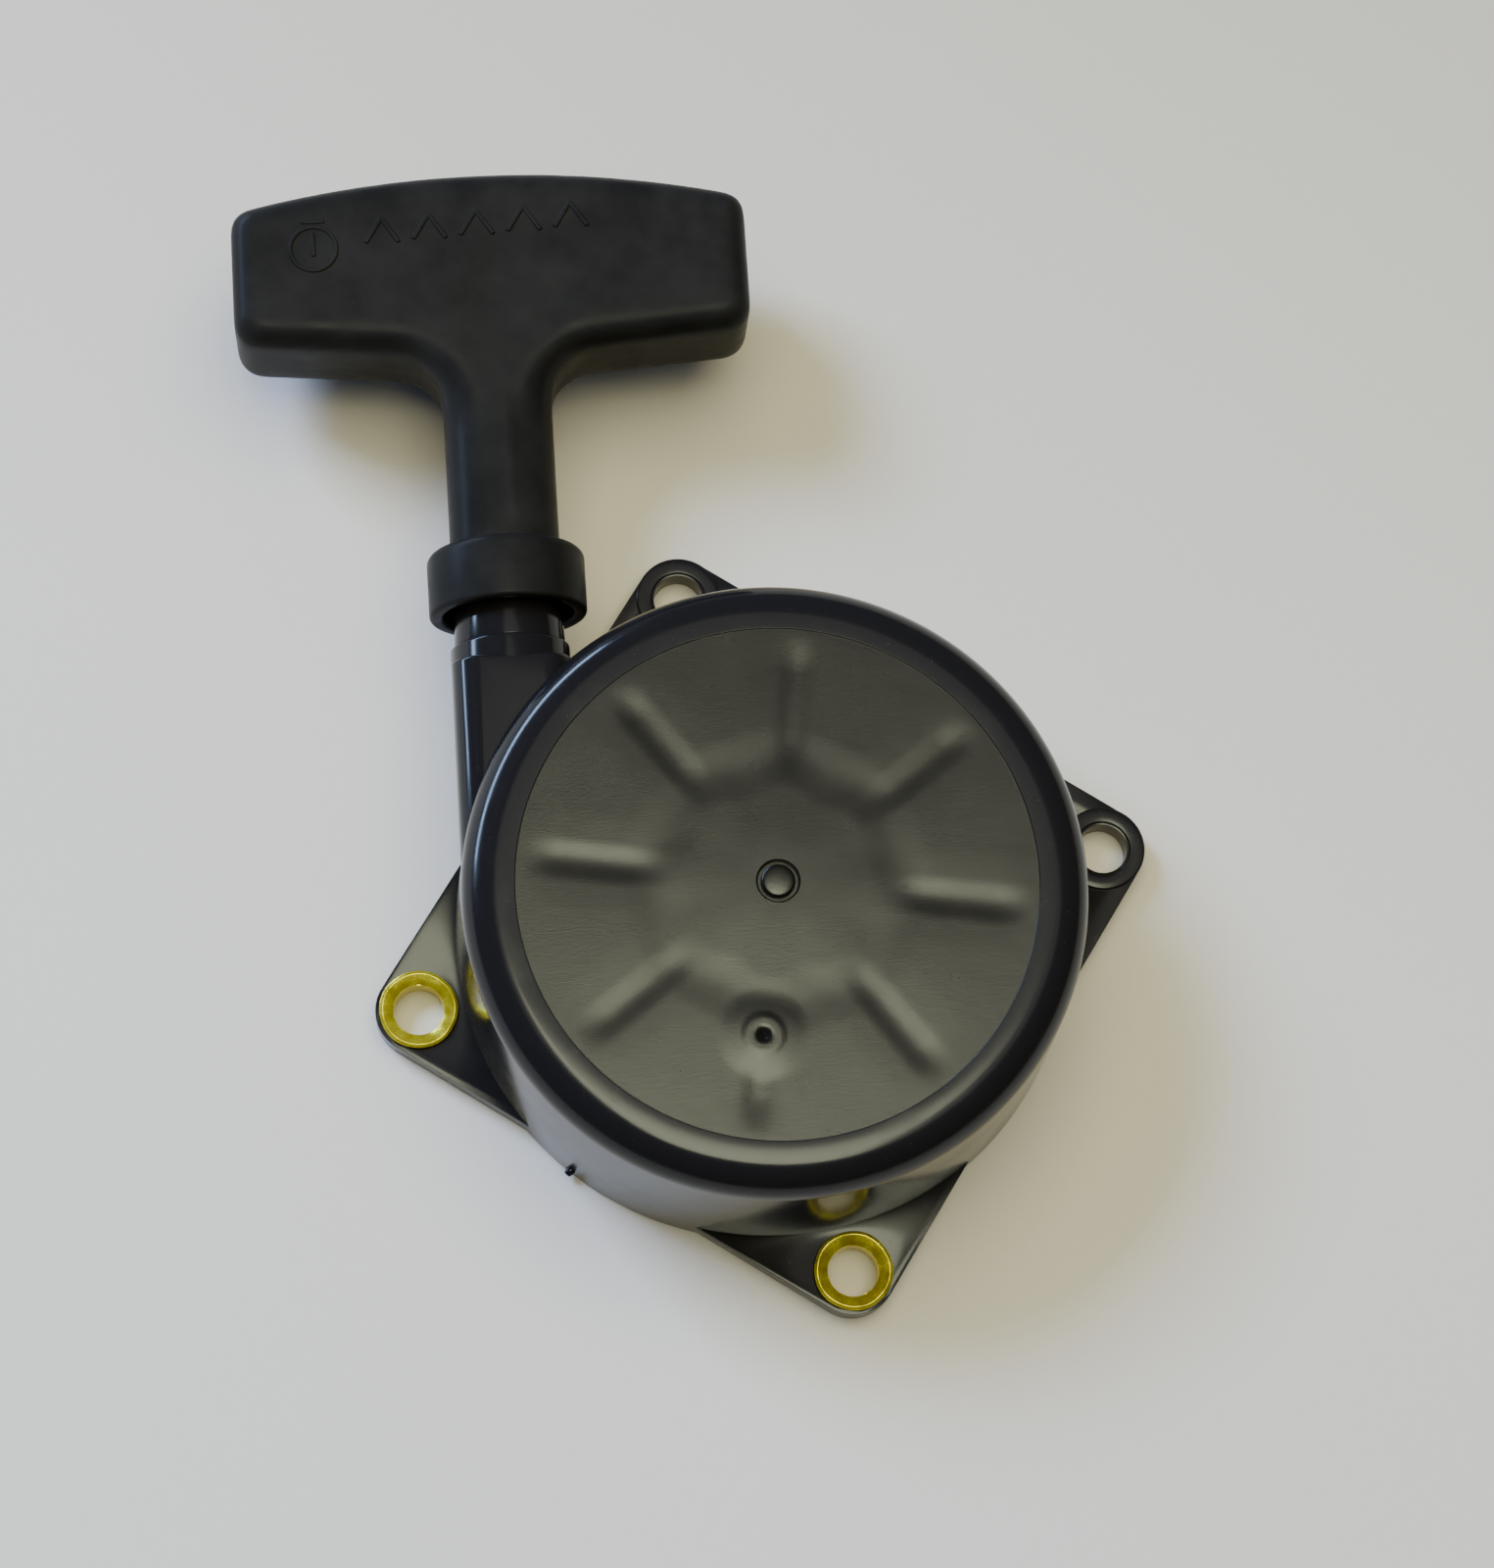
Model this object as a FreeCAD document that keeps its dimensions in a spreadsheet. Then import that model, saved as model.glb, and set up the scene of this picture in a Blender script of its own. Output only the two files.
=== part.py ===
import FreeCAD, Part
import Sketcher
import math
import os
import re

# Recoil starter of a small two-stroke engine. Row frame in mm: the origin is the centre of the
# bolt pattern on the mounting face, +Z points from the engine towards the cover, and the rope is
# pulled along +Y.

SIZES = {
    # casing
    "flange_width": 82.0,          # across the square mounting flange
    "flange_corner": 6.0,          # corner radius of the flange
    "flange_thickness": 4.0,
    "bolt_spacing": 70.0,          # hole to hole along a side of the square
    "bolt_angle": 10.57,           # turn of the square about the axis, in degrees
    "bolt_hole": 7.0,              # clearance for M6
    "collar_outer": 10.8,          # brass sleeve outside
    "collar_proud": 0.4,           # how far a sleeve stands above the flange
    "drum_height": 33.1,
    "drum_radius": 42.1,           # drum at its shoulder
    "drum_flare": 1.2,             # draft, from the shoulder down to the mounting face
    "shoulder": 4.9,
    "wall": 2.2,
    "disc_radius": 35.1,           # matt field on the cover
    "disc_step": 0.25,
    "hub_rise": 0.4,               # the cover's domed middle over its field
    "crease_count": 8,             # soft creases pressed into the field
    "crease_width": 4.6,
    "crease_depth": 0.4,
    "crease_start": 17.0,
    "crease_turn": -8.9,           # from +Y, in degrees
    "hub_radius": 17.5,            # raised middle of the cover
    # rope guide tube
    "tube_radius": 8.25,
    "tube_end": 38.0,
    "housing_end": 33.0,
    "housing_corner": 4.0,
    "tube_play": 2.45,             # round the rope in the tube
    "spigot_radius": 5.5,
    "spigot_length": 8.0,
    "nose_radius": 7.0,
    "nose_length": 8.5,
    "nose_taper": 0.3,
    "guide_play": 0.85,            # round the rope in its guide
    "web_width": 3.0,
    # recoil spring and its cover
    "spring_gap": 0.3,
    "spring_side_gap": 0.3,
    "hook_reach": 13.0,            # how far the outer end runs on before it hooks round the ring
    "hook_bend": 1.0,
    "spring_height": 5.2,
    "strip": 0.5,                  # thickness of the spring strip
    "packed_turns": 9,
    "packed_pitch": 0.9,
    "open_turns": 2,
    "cover_gap": 0.2,
    "cover_thickness": 0.8,
    "cover_edge_gap": 1.0,
    "cover_bore_gap": 1.2,
    "ring_wall": 1.6,
    "screw_boss": 2.8,
    "screw_edge_gap": 0.1,
    "boss_ring_gap": 0.3,
    "screw_shank": 1.5,
    "screw_length": 5.5,
    "screw_head": 2.5,
    "screw_head_height": 1.2,
    "screw_count": 3,
    # reel and rope
    "reel_top_gap": 0.5,
    "reel_side_gap": 2.4,
    "reel_flange": 1.6,
    "groove_play": 0.7,
    "hub_drop": 4.3,
    "rope_diameter": 3.5,
    "rope_spacing": 0.1,
    "rope_turns": 4,
    "rope_cover": 2.05,            # reel flange beyond the outermost turn
    "rib_count": 8,
    "rib_width": 1.4,
    "rib_depth": 1.5,
    "rib_root": 0.4,               # how far a rib runs into the hub
    "neck_radius": 8.5,
    "neck_gap": 0.3,
    "bush_wall": 1.46,
    "knot_radius": 3.1,
    "knot_bite": 0.5,              # how far the rope's inner end runs into its knot
    # stud, washer and screw in the middle
    "stud_radius": 4.0,
    "stud_collar": 7.5,
    "stud_boss": 1.0,
    "stud_end": 2.5,
    "running_gap": 0.04,
    "centre_screw": 2.0,
    "centre_screw_length": 10.0,
    "centre_head": 3.8,
    "centre_head_height": 2.0,
    "washer_radius": 7.0,
    "washer_thickness": 0.8,
    # pawls and their guide
    "pivot_circle": 13.5,
    "pivot_pin": 1.5,
    "pawl_gap": 0.2,
    "pawl_thickness": 3.6,
    "pawl_boss": 3.3,
    "hub_edge": 0.7,               # reel hub beyond the pawl bosses
    "pawl_reach": 14.0,
    "pawl_swing": 35.0,
    "cam_arm": 6.5,
    "cam_pin": 1.0,
    "cam_root": 0.5,               # how far the cam pin stands in the pawl
    "cam_tip": 0.6,                # and beyond the guide
    "cam_play": 0.35,
    "guide_turn": 20.0,
    "guide_gap": 0.4,
    "guide_thickness": 1.2,
    "guide_radius": 12.0,
    "guide_ear": 3.9,
    "wire": 0.9,                   # of the friction spring
    "friction_turns": 5,
    "pawl_wire": 0.5,
    "pawl_spring_turns": 4,
    # handle
    "grip_width": 72.2,
    "grip_thickness": 17.6,
    "grip_low": 79.6,              # underside of the grip beside the stem
    "grip_rise": 2.0,              # how much the underside rises towards the ends
    "grip_side": 101.3,            # top corners of the grip
    "grip_crown": 4.5,             # arc height of the top
    "stem_width": 15.2,
    "stem_fillet": 7.5,
    "skirt_radius": 10.95,
    "skirt_start": 42.5,
    "skirt_end": 51.5,
    "skirt_play": 2.1,             # between the nose and the skirt's bore
    "seat_gap": 0.5,
    "handle_play": 0.55,           # round the rope in the handle
    "pocket_radius": 4.7,
    "pocket_floor": 94.0,
    "knot_washer": 0.8,
}

# Levels up the axis, chained down from the cover so that every stack follows the drum's height.
CEILING = "(drum_height - wall)"
SPRING_FOOT = f"({CEILING} - spring_gap - spring_height)"
COVER_FOOT = f"({SPRING_FOOT} - cover_gap - cover_thickness)"
REEL_TOP = f"({COVER_FOOT} - screw_head_height - reel_top_gap)"
GROOVE_WIDTH = "(rope_diameter + groove_play)"
ROPE_LEVEL = f"({REEL_TOP} - reel_flange - {GROOVE_WIDTH} / 2)"
KNOT_LEVEL = f"({ROPE_LEVEL} + {GROOVE_WIDTH} / 2 - rope_spacing - knot_radius)"
FLANGE_FOOT = f"({ROPE_LEVEL} - {GROOVE_WIDTH} / 2 - reel_flange)"
REEL_FOOT = f"({FLANGE_FOOT} - hub_drop)"
NECK_TOP = f"({CEILING} - stud_boss - neck_gap)"
PAWL_FOOT = f"({REEL_FOOT} - pawl_gap - pawl_thickness)"
GUIDE_FOOT = f"({PAWL_FOOT} - guide_gap - guide_thickness)"
STUD_FOOT = f"({GUIDE_FOOT} - guide_gap)"

# Radii, chained in from the drum.
CAVITY = "(drum_radius - wall)"
COVER_RADIUS = f"({CAVITY} - cover_edge_gap)"
SCREW_CIRCLE = f"({COVER_RADIUS} - screw_head - screw_edge_gap)"
RING_OUTER = f"({SCREW_CIRCLE} - screw_boss - boss_ring_gap)"
RING_INNER = f"({RING_OUTER} - ring_wall)"
REEL_RADIUS = f"({CAVITY} - reel_side_gap)"
EXIT_RADIUS = f"({REEL_RADIUS} - rope_cover - rope_diameter / 2)"
ROPE_PITCH = "(rope_diameter + rope_spacing)"
GROOVE_FLOOR = f"({EXIT_RADIUS} - rope_turns * {ROPE_PITCH} - rope_diameter / 2 - rope_spacing / 2)"
HUB_OUTER = "(pivot_circle + pawl_boss + hub_edge)"
BUSH_BORE = "(stud_radius + running_gap)"
BUSH_OUTER = f"({BUSH_BORE} + bush_wall)"
BOLT_CIRCLE = "(bolt_spacing / sqrt(2))"
SKIRT_BORE = "(nose_radius + skirt_play)"
SEAT = "(tube_end + nose_length + seat_gap)"
TUBE_BORE = "(rope_diameter / 2 + tube_play)"
GUIDE_BORE = "(rope_diameter / 2 + guide_play)"
HANDLE_BORE = "(rope_diameter / 2 + handle_play)"

COLLAR_CORNERS = (2, 3)            # the two corners whose holes have brass sleeves
PLAIN_CORNERS = (0, 1)
PAWL_ANGLES = {"a": 90.0, "b": 270.0}
KNOT_TURN = 60.0                   # the rope's inner end turns in towards the hub by this angle
KNOT_BEND = 5.0
GATE_PLACE = (-3.3, -20.7)         # moulding gate on the cover

doc = FreeCAD.newDocument("recoil_starter")
sheet = doc.addObject("Spreadsheet::Sheet", "sizes")


def fill_sheet():
    """One row per size: its name, its value and an alias that expressions use."""
    for row, (alias, value) in enumerate(SIZES.items(), start=1):
        sheet.set(f"A{row}", alias)
        sheet.set(f"B{row}", str(value))
        sheet.setAlias(f"B{row}", alias)
    doc.recompute()


def rule(text):
    """The expression text with each size's name pointing into the sheet."""
    return re.sub(r"[a-z]\w*",
                  lambda w: f"sizes.{w.group()}" if w.group() in SIZES else w.group(), str(text))


def number(text):
    """The present value of a rule, in mm or degrees."""
    result = sheet.evalExpression(rule(text))
    return float(getattr(result, "Value", result))


def bind(thing, **rules):
    """Ties properties to rules; a double underscore stands for a dot."""
    for name, text in rules.items():
        thing.setExpression(name.replace("__", "."), rule(text))
    return thing


def place(thing, x="0", y="0", z="0"):
    return bind(thing, Placement__Base__x=x, Placement__Base__y=y, Placement__Base__z=z)


def new_body(label):
    body = doc.addObject("PartDesign::Body", label)
    body.Label = label
    return body


def add_feature(kind, body, name):
    feature = body.newObject(kind, name)
    body.Tip = feature
    return feature


def origin_plane(body, role):
    return next(item for item in body.Origin.OriginFeatures if item.Role == role)


def new_sketch(body, name, role, offset):
    sketch = body.newObject("Sketcher::SketchObject", name)
    sketch.AttachmentSupport = (origin_plane(body, role), [""])
    sketch.MapMode = "FlatFace"
    for axis, text in zip("xyz", offset):
        sketch.setExpression(f"AttachmentOffset.Base.{axis}", rule(text))
    return sketch


def hold(sketch, kind, where, text):
    """A constraint whose value follows a rule."""
    index = sketch.addConstraint(Sketcher.Constraint(kind, *where, number(text)))
    sketch.setExpression(f"Constraints[{index}]", rule(text))


def pin(sketch, shape, point, spot):
    hold(sketch, "DistanceX", (-1, 1, shape, point), spot[0])
    hold(sketch, "DistanceY", (-1, 1, shape, point), spot[1])


def crowned(first, last, radius):
    """The arc from first to last that bulges to the right of the way, as outlines run anticlockwise."""
    chord = last - first
    half = chord.Length / 2
    inward = FreeCAD.Vector(-chord.y, chord.x, 0).normalize()
    centre = (first + last) / 2 + inward * math.sqrt(radius**2 - half**2)
    angles = [math.atan2(spot.y - centre.y, spot.x - centre.x) for spot in (first, last)]
    circle = Part.Circle(centre, FreeCAD.Vector(0, 0, 1), radius)
    return Part.ArcOfCircle(circle, angles[0], angles[1])


def outline(body, name, corners, role="XZ_Plane", offset=("0", "0", "0"), arcs=None):
    """A closed outline through anticlockwise corners, each held by two rules; arcs gives a radius
    to some sides."""
    arcs = arcs or {}
    sketch = new_sketch(body, name, role, offset)
    spots = [FreeCAD.Vector(number(x), number(y), 0) for x, y in corners]
    for side, spot in enumerate(spots):
        after = spots[(side + 1) % len(spots)]
        piece = crowned(spot, after, number(arcs[side])) if side in arcs else Part.LineSegment(spot, after)
        sketch.addGeometry(piece, False)
    for side, corner in enumerate(corners):
        sketch.addConstraint(Sketcher.Constraint("Coincident", side, 2, (side + 1) % len(corners), 1))
        pin(sketch, side, 1, corner)
    for side, radius in arcs.items():
        hold(sketch, "Radius", (side,), radius)
    return sketch


def ring(body, name, spot, radius, role="XY_Plane", offset=("0", "0", "0")):
    """A circle about a spot."""
    sketch = new_sketch(body, name, role, offset)
    centre = FreeCAD.Vector(number(spot[0]), number(spot[1]), 0)
    sketch.addGeometry(Part.Circle(centre, FreeCAD.Vector(0, 0, 1), number(radius)), False)
    pin(sketch, 0, 3, spot)
    hold(sketch, "Radius", (0,), radius)
    return sketch


def obround(body, name, first, last, half_width, offset):
    """A slot between two centres: two half circles joined by tangent sides."""
    sketch = new_sketch(body, name, "XY_Plane", offset)
    ends = [FreeCAD.Vector(number(x), number(y), 0) for x, y in (first, last)]
    width = number(half_width)
    along = (ends[1] - ends[0]).normalize()
    across = FreeCAD.Vector(-along.y, along.x, 0)
    heading = math.atan2(along.y, along.x)
    for end, turn in zip(ends, (math.pi / 2, -math.pi / 2)):
        circle = Part.Circle(end, FreeCAD.Vector(0, 0, 1), width)
        sketch.addGeometry(Part.ArcOfCircle(circle, heading + turn, heading + turn + math.pi), False)
    sketch.addGeometry(Part.LineSegment(ends[0] - across * width, ends[1] - across * width), False)
    sketch.addGeometry(Part.LineSegment(ends[1] + across * width, ends[0] + across * width), False)
    for joint in ((0, 2, 2, 1), (2, 2, 1, 1), (1, 2, 3, 1), (3, 2, 0, 1)):
        sketch.addConstraint(Sketcher.Constraint("Tangent", *joint))
    pin(sketch, 0, 3, first)
    pin(sketch, 1, 3, last)
    hold(sketch, "Radius", (0,), half_width)
    return sketch


def pad(body, name, sketch, length, back=False, both=False):
    feature = add_feature("PartDesign::Pad", body, name)
    feature.Profile = sketch
    feature.Reversed = back
    feature.SideType = "Symmetric" if both else "One side"
    return bind(feature, Length=length)


def cut(body, name, sketch, length, back=False, both=False):
    feature = add_feature("PartDesign::Pocket", body, name)
    feature.Profile = sketch
    feature.Reversed = back
    feature.SideType = "Symmetric" if both else "One side"
    return bind(feature, Length=length)


def turned(body, name, sketch, kind="Revolution"):
    """Revolution, or Groove, of a sketch about its own upright axis."""
    feature = add_feature(f"PartDesign::{kind}", body, name)
    feature.Profile = sketch
    feature.ReferenceAxis = (sketch, ["V_Axis"])
    feature.Angle = 360
    return feature


def around(body, name, features, count):
    """The features repeated evenly about the body's Z axis."""
    pattern = add_feature("PartDesign::PolarPattern", body, name)
    pattern.Originals = features
    pattern.Axis = (next(item for item in body.Origin.OriginFeatures if item.Role == "Z_Axis"), [""])
    pattern.Angle = 360
    pattern.setExpression("Occurrences", rule(count))
    body.Tip = pattern
    return pattern


def rounded(body, name, radius, test):
    """Fillets the edges of the body's last feature that pass the test."""
    doc.recompute()
    base = body.Tip
    edges = [f"Edge{index}" for index, edge in enumerate(base.Shape.Edges, start=1) if test(edge)]
    feature = add_feature("PartDesign::Fillet", body, name)
    feature.Base = (base, edges)
    return bind(feature, Radius=radius)


def runs_along(edge, axis):
    """Whether a straight edge is parallel to an axis."""
    if edge.Curve.TypeId != "Part::GeomLine":
        return False
    return abs(edge.tangentAt(edge.FirstParameter).dot(axis)) > 0.999


def circle_at(edge, radius, level, axis="z"):
    """Whether an edge is a circle of that radius at that level along an axis."""
    if edge.Curve.TypeId != "Part::GeomCircle":
        return False
    return abs(edge.Curve.Radius - radius) < 0.01 and abs(getattr(edge.Curve.Center, axis) - level) < 0.01


def polar(radius, angle):
    """Rules for a spot at a radius and an angle in degrees."""
    return (f"{radius} * cos(({angle}) * 1 deg)", f"{radius} * sin(({angle}) * 1 deg)")


def corner_angle(corner):
    return f"bolt_angle + {90 * corner}"


def cylinder(name, radius, height, x="0", y="0", z="0"):
    return place(bind(doc.addObject("Part::Cylinder", name), Radius=radius, Height=height), x, y, z)


def hollow(name, outer, inner, height, x="0", y="0", z="0"):
    """A plain sleeve or washer."""
    sleeve = doc.addObject("Part::Cut", name)
    sleeve.Base = cylinder(f"{name}_outside", outer, height, x, y, z)
    sleeve.Tool = cylinder(f"{name}_bore", inner, height, x, y, z)
    sleeve.Label = name
    return sleeve


def group(name, members):
    together = doc.addObject("Part::Compound", name)
    together.Links = members
    together.Label = name
    return together


# ---- casing --------------------------------------------------------------------------------------

def case_flange(body):
    """Square flange, then the drum that stands on it."""
    half_diagonal = "(flange_width / sqrt(2))"
    corners = [polar(half_diagonal, corner_angle(k)) for k in range(4)]
    square = outline(body, "flange_outline", corners, "XY_Plane")
    pad(body, "flange", square, "flange_thickness")
    up = FreeCAD.Vector(0, 0, 1)
    rounded(body, "flange_corners", "flange_corner", lambda edge: runs_along(edge, up))
    profile = outline(body, "drum_profile", [
        ("0", "0"),
        ("drum_radius + drum_flare", "0"),
        ("drum_radius", "drum_height"),
        ("0", "drum_height"),
    ])
    turned(body, "drum", profile)
    rim, top = number("drum_radius"), number("drum_height")
    rounded(body, "drum_shoulder", "shoulder", lambda edge: circle_at(edge, rim, top))


def case_tube(body):
    """Box-like housing of the rope tube with a round mouth, and the web that joins it to the flange."""
    x_left, x_right = f"-{EXIT_RADIUS} - tube_radius", f"-{EXIT_RADIUS} + tube_radius"
    low, high = f"{ROPE_LEVEL} - tube_radius", f"{ROPE_LEVEL} + tube_radius"
    section = outline(body, "housing_outline",
                      [(x_left, low), (x_right, low), (x_right, high), (x_left, high)])
    pad(body, "housing", section, "housing_end", back=True)
    along, end = FreeCAD.Vector(0, 1, 0), number("housing_end")

    def long_edge(edge):
        return runs_along(edge, along) and edge.BoundBox.YMax > end - 0.01

    rounded(body, "housing_edges", "housing_corner", long_edge)
    mouth = outline(body, "mouth_profile", [
        ("0", "housing_end - wall"),
        ("tube_radius", "housing_end - wall"),
        ("tube_radius", "tube_end"),
        ("0", "tube_end"),
    ], "XY_Plane", (f"-{EXIT_RADIUS}", "0", ROPE_LEVEL))
    turned(body, "mouth", mouth)
    lean = "(bolt_angle * 1 deg + 135 deg)"
    web_end = f"(flange_width / 2 + {EXIT_RADIUS} * cos{lean}) / sin{lean} - wall"
    web_left, web_right = f"-{EXIT_RADIUS} - web_width / 2", f"-{EXIT_RADIUS} + web_width / 2"
    foot = [(web_left, "0"), (web_right, "0"), (web_right, ROPE_LEVEL), (web_left, ROPE_LEVEL)]
    pad(body, "web", outline(body, "web_outline", foot), web_end, back=True)


def case_cavity(body):
    """Room for the reel and spring, with the ring that holds the spring and the bosses of its cover."""
    hollow_profile = outline(body, "cavity_profile", [
        ("0", "0"),
        (f"{CAVITY} + drum_flare", "0"),
        (CAVITY, CEILING),
        ("0", CEILING),
    ])
    turned(body, "cavity", hollow_profile, "Groove")
    cover_top = f"({SPRING_FOOT} - cover_gap)"
    ring_profile = outline(body, "ring_profile", [
        (RING_INNER, cover_top),
        (RING_OUTER, cover_top),
        (RING_OUTER, CEILING + " + wall / 2"),
        (RING_INNER, CEILING + " + wall / 2"),
    ])
    turned(body, "spring_ring", ring_profile)
    boss_profile = outline(body, "boss_profile", [
        ("0", f"{CEILING} - stud_boss"),
        ("stud_collar", f"{CEILING} - stud_boss"),
        ("stud_collar", f"{CEILING} + wall / 2"),
        ("0", f"{CEILING} + wall / 2"),
    ])
    turned(body, "stud_boss", boss_profile)
    spot, at = (SCREW_CIRCLE, "0"), ("0", "0", cover_top)
    boss = pad(body, "screw_boss", ring(body, "screw_boss_ring", spot, "screw_boss", offset=at),
               f"{CEILING} + wall / 2 - {cover_top}")
    around(body, "screw_bosses", [boss], "screw_count")
    hole = cut(body, "screw_hole", ring(body, "screw_hole_ring", spot, "screw_shank", offset=at),
               "screw_length - cover_thickness", back=True)
    around(body, "screw_holes", [hole], "screw_count")
    slot = outline(body, "hook_slot_outline", [
        (f"-{RING_OUTER} - spring_gap", "-hook_reach - 3 * hook_bend"),
        (f"-{RING_INNER} + 3 * strip", "-hook_reach - 3 * hook_bend"),
        (f"-{RING_INNER} + 3 * strip", "-hook_reach / 4"),
        (f"-{RING_OUTER} - spring_gap", "-hook_reach / 4"),
    ], "XY_Plane", ("0", "0", cover_top))
    cut(body, "hook_slot", slot, f"{CEILING} - {cover_top}", back=True)


def case_bores(body):
    """Stepped bore of the rope tube, the stud's hole and the four bolt holes."""
    bore = outline(body, "bore_profile", [
        ("0", "tube_radius"),
        (TUBE_BORE, "tube_radius"),
        (TUBE_BORE, "tube_end - spigot_length"),
        ("spigot_radius", "tube_end - spigot_length"),
        ("spigot_radius", "tube_end"),
        ("0", "tube_end"),
    ], "XY_Plane", (f"-{EXIT_RADIUS}", "0", ROPE_LEVEL))
    turned(body, "tube_bore", bore, "Groove")
    stud_hole = outline(body, "stud_hole_profile", [
        ("0", f"{CEILING} - stud_boss"),
        ("stud_radius", f"{CEILING} - stud_boss"),
        ("stud_radius", f"{CEILING} + wall / 2"),
        ("stud_end", f"{CEILING} + wall / 2"),
        ("stud_end", "drum_height"),
        ("0", "drum_height"),
    ])
    turned(body, "stud_hole", stud_hole, "Groove")
    for corners, radius in ((COLLAR_CORNERS, "collar_outer / 2"), (PLAIN_CORNERS, "bolt_hole / 2")):
        for corner in corners:
            hole = ring(body, f"bolt_ring_{corner}", polar(BOLT_CIRCLE, corner_angle(corner)), radius)
            cut(body, f"bolt_hole_{corner}", hole, "flange_thickness", back=True)


def case_cover(body):
    """Stepped matt field with a raised middle, radial creases round it, and the moulding gate."""
    step = outline(body, "step_profile", [
        ("stud_end + wall", "drum_height - disc_step"),
        ("disc_radius", "drum_height - disc_step"),
        ("disc_radius", "drum_height"),
        ("stud_end + wall", "drum_height"),
    ])
    turned(body, "cover_step", step, "Groove")
    floor = "drum_height - disc_step"
    hub = outline(body, "hub_profile", [
        ("stud_end + wall", floor),
        ("hub_radius", floor),
        ("hub_radius - 2 * wall", f"{floor} + hub_rise"),
        ("3 * stud_end", "drum_height"),
        ("stud_end + wall", "drum_height"),
    ])
    turned(body, "cover_hub", hub)
    crease = outline(body, "crease_outline", [
        ("0", f"{floor} - crease_depth"),
        ("crease_width / 2", floor),
        ("crease_width / 2", "drum_height"),
        ("-crease_width / 2", "drum_height"),
        ("-crease_width / 2", floor),
    ], "XZ_Plane")
    crease.AttachmentOffset = FreeCAD.Placement(
        FreeCAD.Vector(), FreeCAD.Rotation(FreeCAD.Vector(0, 1, 0), number("crease_turn")))
    bind(crease, AttachmentOffset__Base__x="-crease_start * sin(crease_turn * 1 deg)",
         AttachmentOffset__Base__z="-crease_start * cos(crease_turn * 1 deg)",
         AttachmentOffset__Rotation__Angle="crease_turn * 1 deg")
    pressed = cut(body, "crease", crease, "disc_radius - crease_depth - crease_start")
    around(body, "creases", [pressed], "crease_count")
    gate = ring(body, "gate_ring", [str(value) for value in GATE_PLACE], "wall / 2", offset=("0", "0", floor))
    cut(body, "gate", gate, "disc_step * 2")


def make_case():
    body = new_body("starter_case")
    case_flange(body)
    case_tube(body)
    case_cavity(body)
    case_bores(body)
    case_cover(body)


def make_mounting_collars():
    members = []
    for corner in COLLAR_CORNERS:
        x, y = polar(BOLT_CIRCLE, corner_angle(corner))
        height = "flange_thickness + collar_proud"
        members.append(hollow(f"collar_{corner}", "collar_outer / 2", "bolt_hole / 2", height, x, y))
    group("mounting_collars", members)


def make_pivot_stud():
    """Shouldered steel stud moulded into the cover, tapped from below for the centre screw."""
    body = new_body("pivot_stud")
    profile = outline(body, "stud_profile", [
        ("0", STUD_FOOT),
        ("stud_radius", STUD_FOOT),
        ("stud_radius", f"{CEILING} + wall / 2"),
        ("stud_end", f"{CEILING} + wall / 2"),
        ("stud_end", "drum_height"),
        ("0", "drum_height"),
    ])
    turned(body, "stud", profile)
    thread = outline(body, "thread_profile", [
        ("0", STUD_FOOT),
        ("centre_screw", STUD_FOOT),
        ("centre_screw", f"{STUD_FOOT} + centre_screw_length"),
        ("0", f"{STUD_FOOT} + centre_screw_length + centre_screw"),
    ])
    turned(body, "thread", thread, "Groove")


def make_rope_guide():
    """Bush in the tube's mouth; its nose carries the handle's skirt."""
    body = new_body("rope_guide")
    place(body, f"-{EXIT_RADIUS}", "0", ROPE_LEVEL)
    profile = outline(body, "guide_profile", [
        (GUIDE_BORE, "tube_end - spigot_length"),
        ("spigot_radius", "tube_end - spigot_length"),
        ("spigot_radius", "tube_end"),
        ("nose_radius", "tube_end"),
        ("nose_radius - nose_taper", "tube_end + nose_length"),
        (GUIDE_BORE, "tube_end + nose_length"),
    ], "XY_Plane")
    turned(body, "guide", profile)
    tip, end = number("nose_radius - nose_taper"), number("tube_end + nose_length")
    mouth = number(GUIDE_BORE)
    rounded(body, "guide_rounding", "nose_taper * 4",
            lambda edge: circle_at(edge, tip, end, "y") or circle_at(edge, mouth, end, "y"))


# ---- spring, rope and their coils ----------------------------------------------------------------

def half_circles(start, pitches):
    """Half circles that join smoothly into a coil: from -start on the X axis, through the lower
    side first, moving in by half a pitch each. Gives the edges and the last place on the X axis."""
    edges, radius, side, last = [], start, 1, -start
    for pitch in pitches:
        radius -= pitch / 2
        after = side * radius
        centre, reach = (last + after) / 2, abs(after - last) / 2
        middle = FreeCAD.Vector(centre, -side * reach, 0)
        edges.append(Part.Arc(FreeCAD.Vector(last, 0, 0), middle, FreeCAD.Vector(after, 0, 0)).toShape())
        last, side = after, -side
    return edges, last


def bend(centre, radius, start, turn):
    """Arc about a centre from a start angle through a turn, both in degrees."""
    angles = [math.radians(start + turn * share) for share in (0.0, 0.5, 1.0)]
    spots = [FreeCAD.Vector(*centre, 0) + FreeCAD.Vector(math.cos(a), math.sin(a), 0) * radius
             for a in angles]
    return Part.Arc(*spots).toShape()


def straight(first, last):
    return Part.LineSegment(FreeCAD.Vector(*first, 0), FreeCAD.Vector(*last, 0)).toShape()


def swept(label, edges, section):
    """A solid of one section along tangent edges; its volume is compared with the section times
    the length."""
    path = Part.Wire(edges)
    solid = path.makePipeShell([section], True, False)
    share = solid.Volume / (Part.Face(section).Area * path.Length)
    print(f"{label}: path {path.Length:.1f} mm, volume {share:.4f} of section times length")
    return solid


def stored(label, shape, x="0", y="0", z="0"):
    thing = doc.addObject("Part::Feature", label)
    thing.Label = label
    thing.Shape = shape
    return place(thing, x, y, z)


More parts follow.
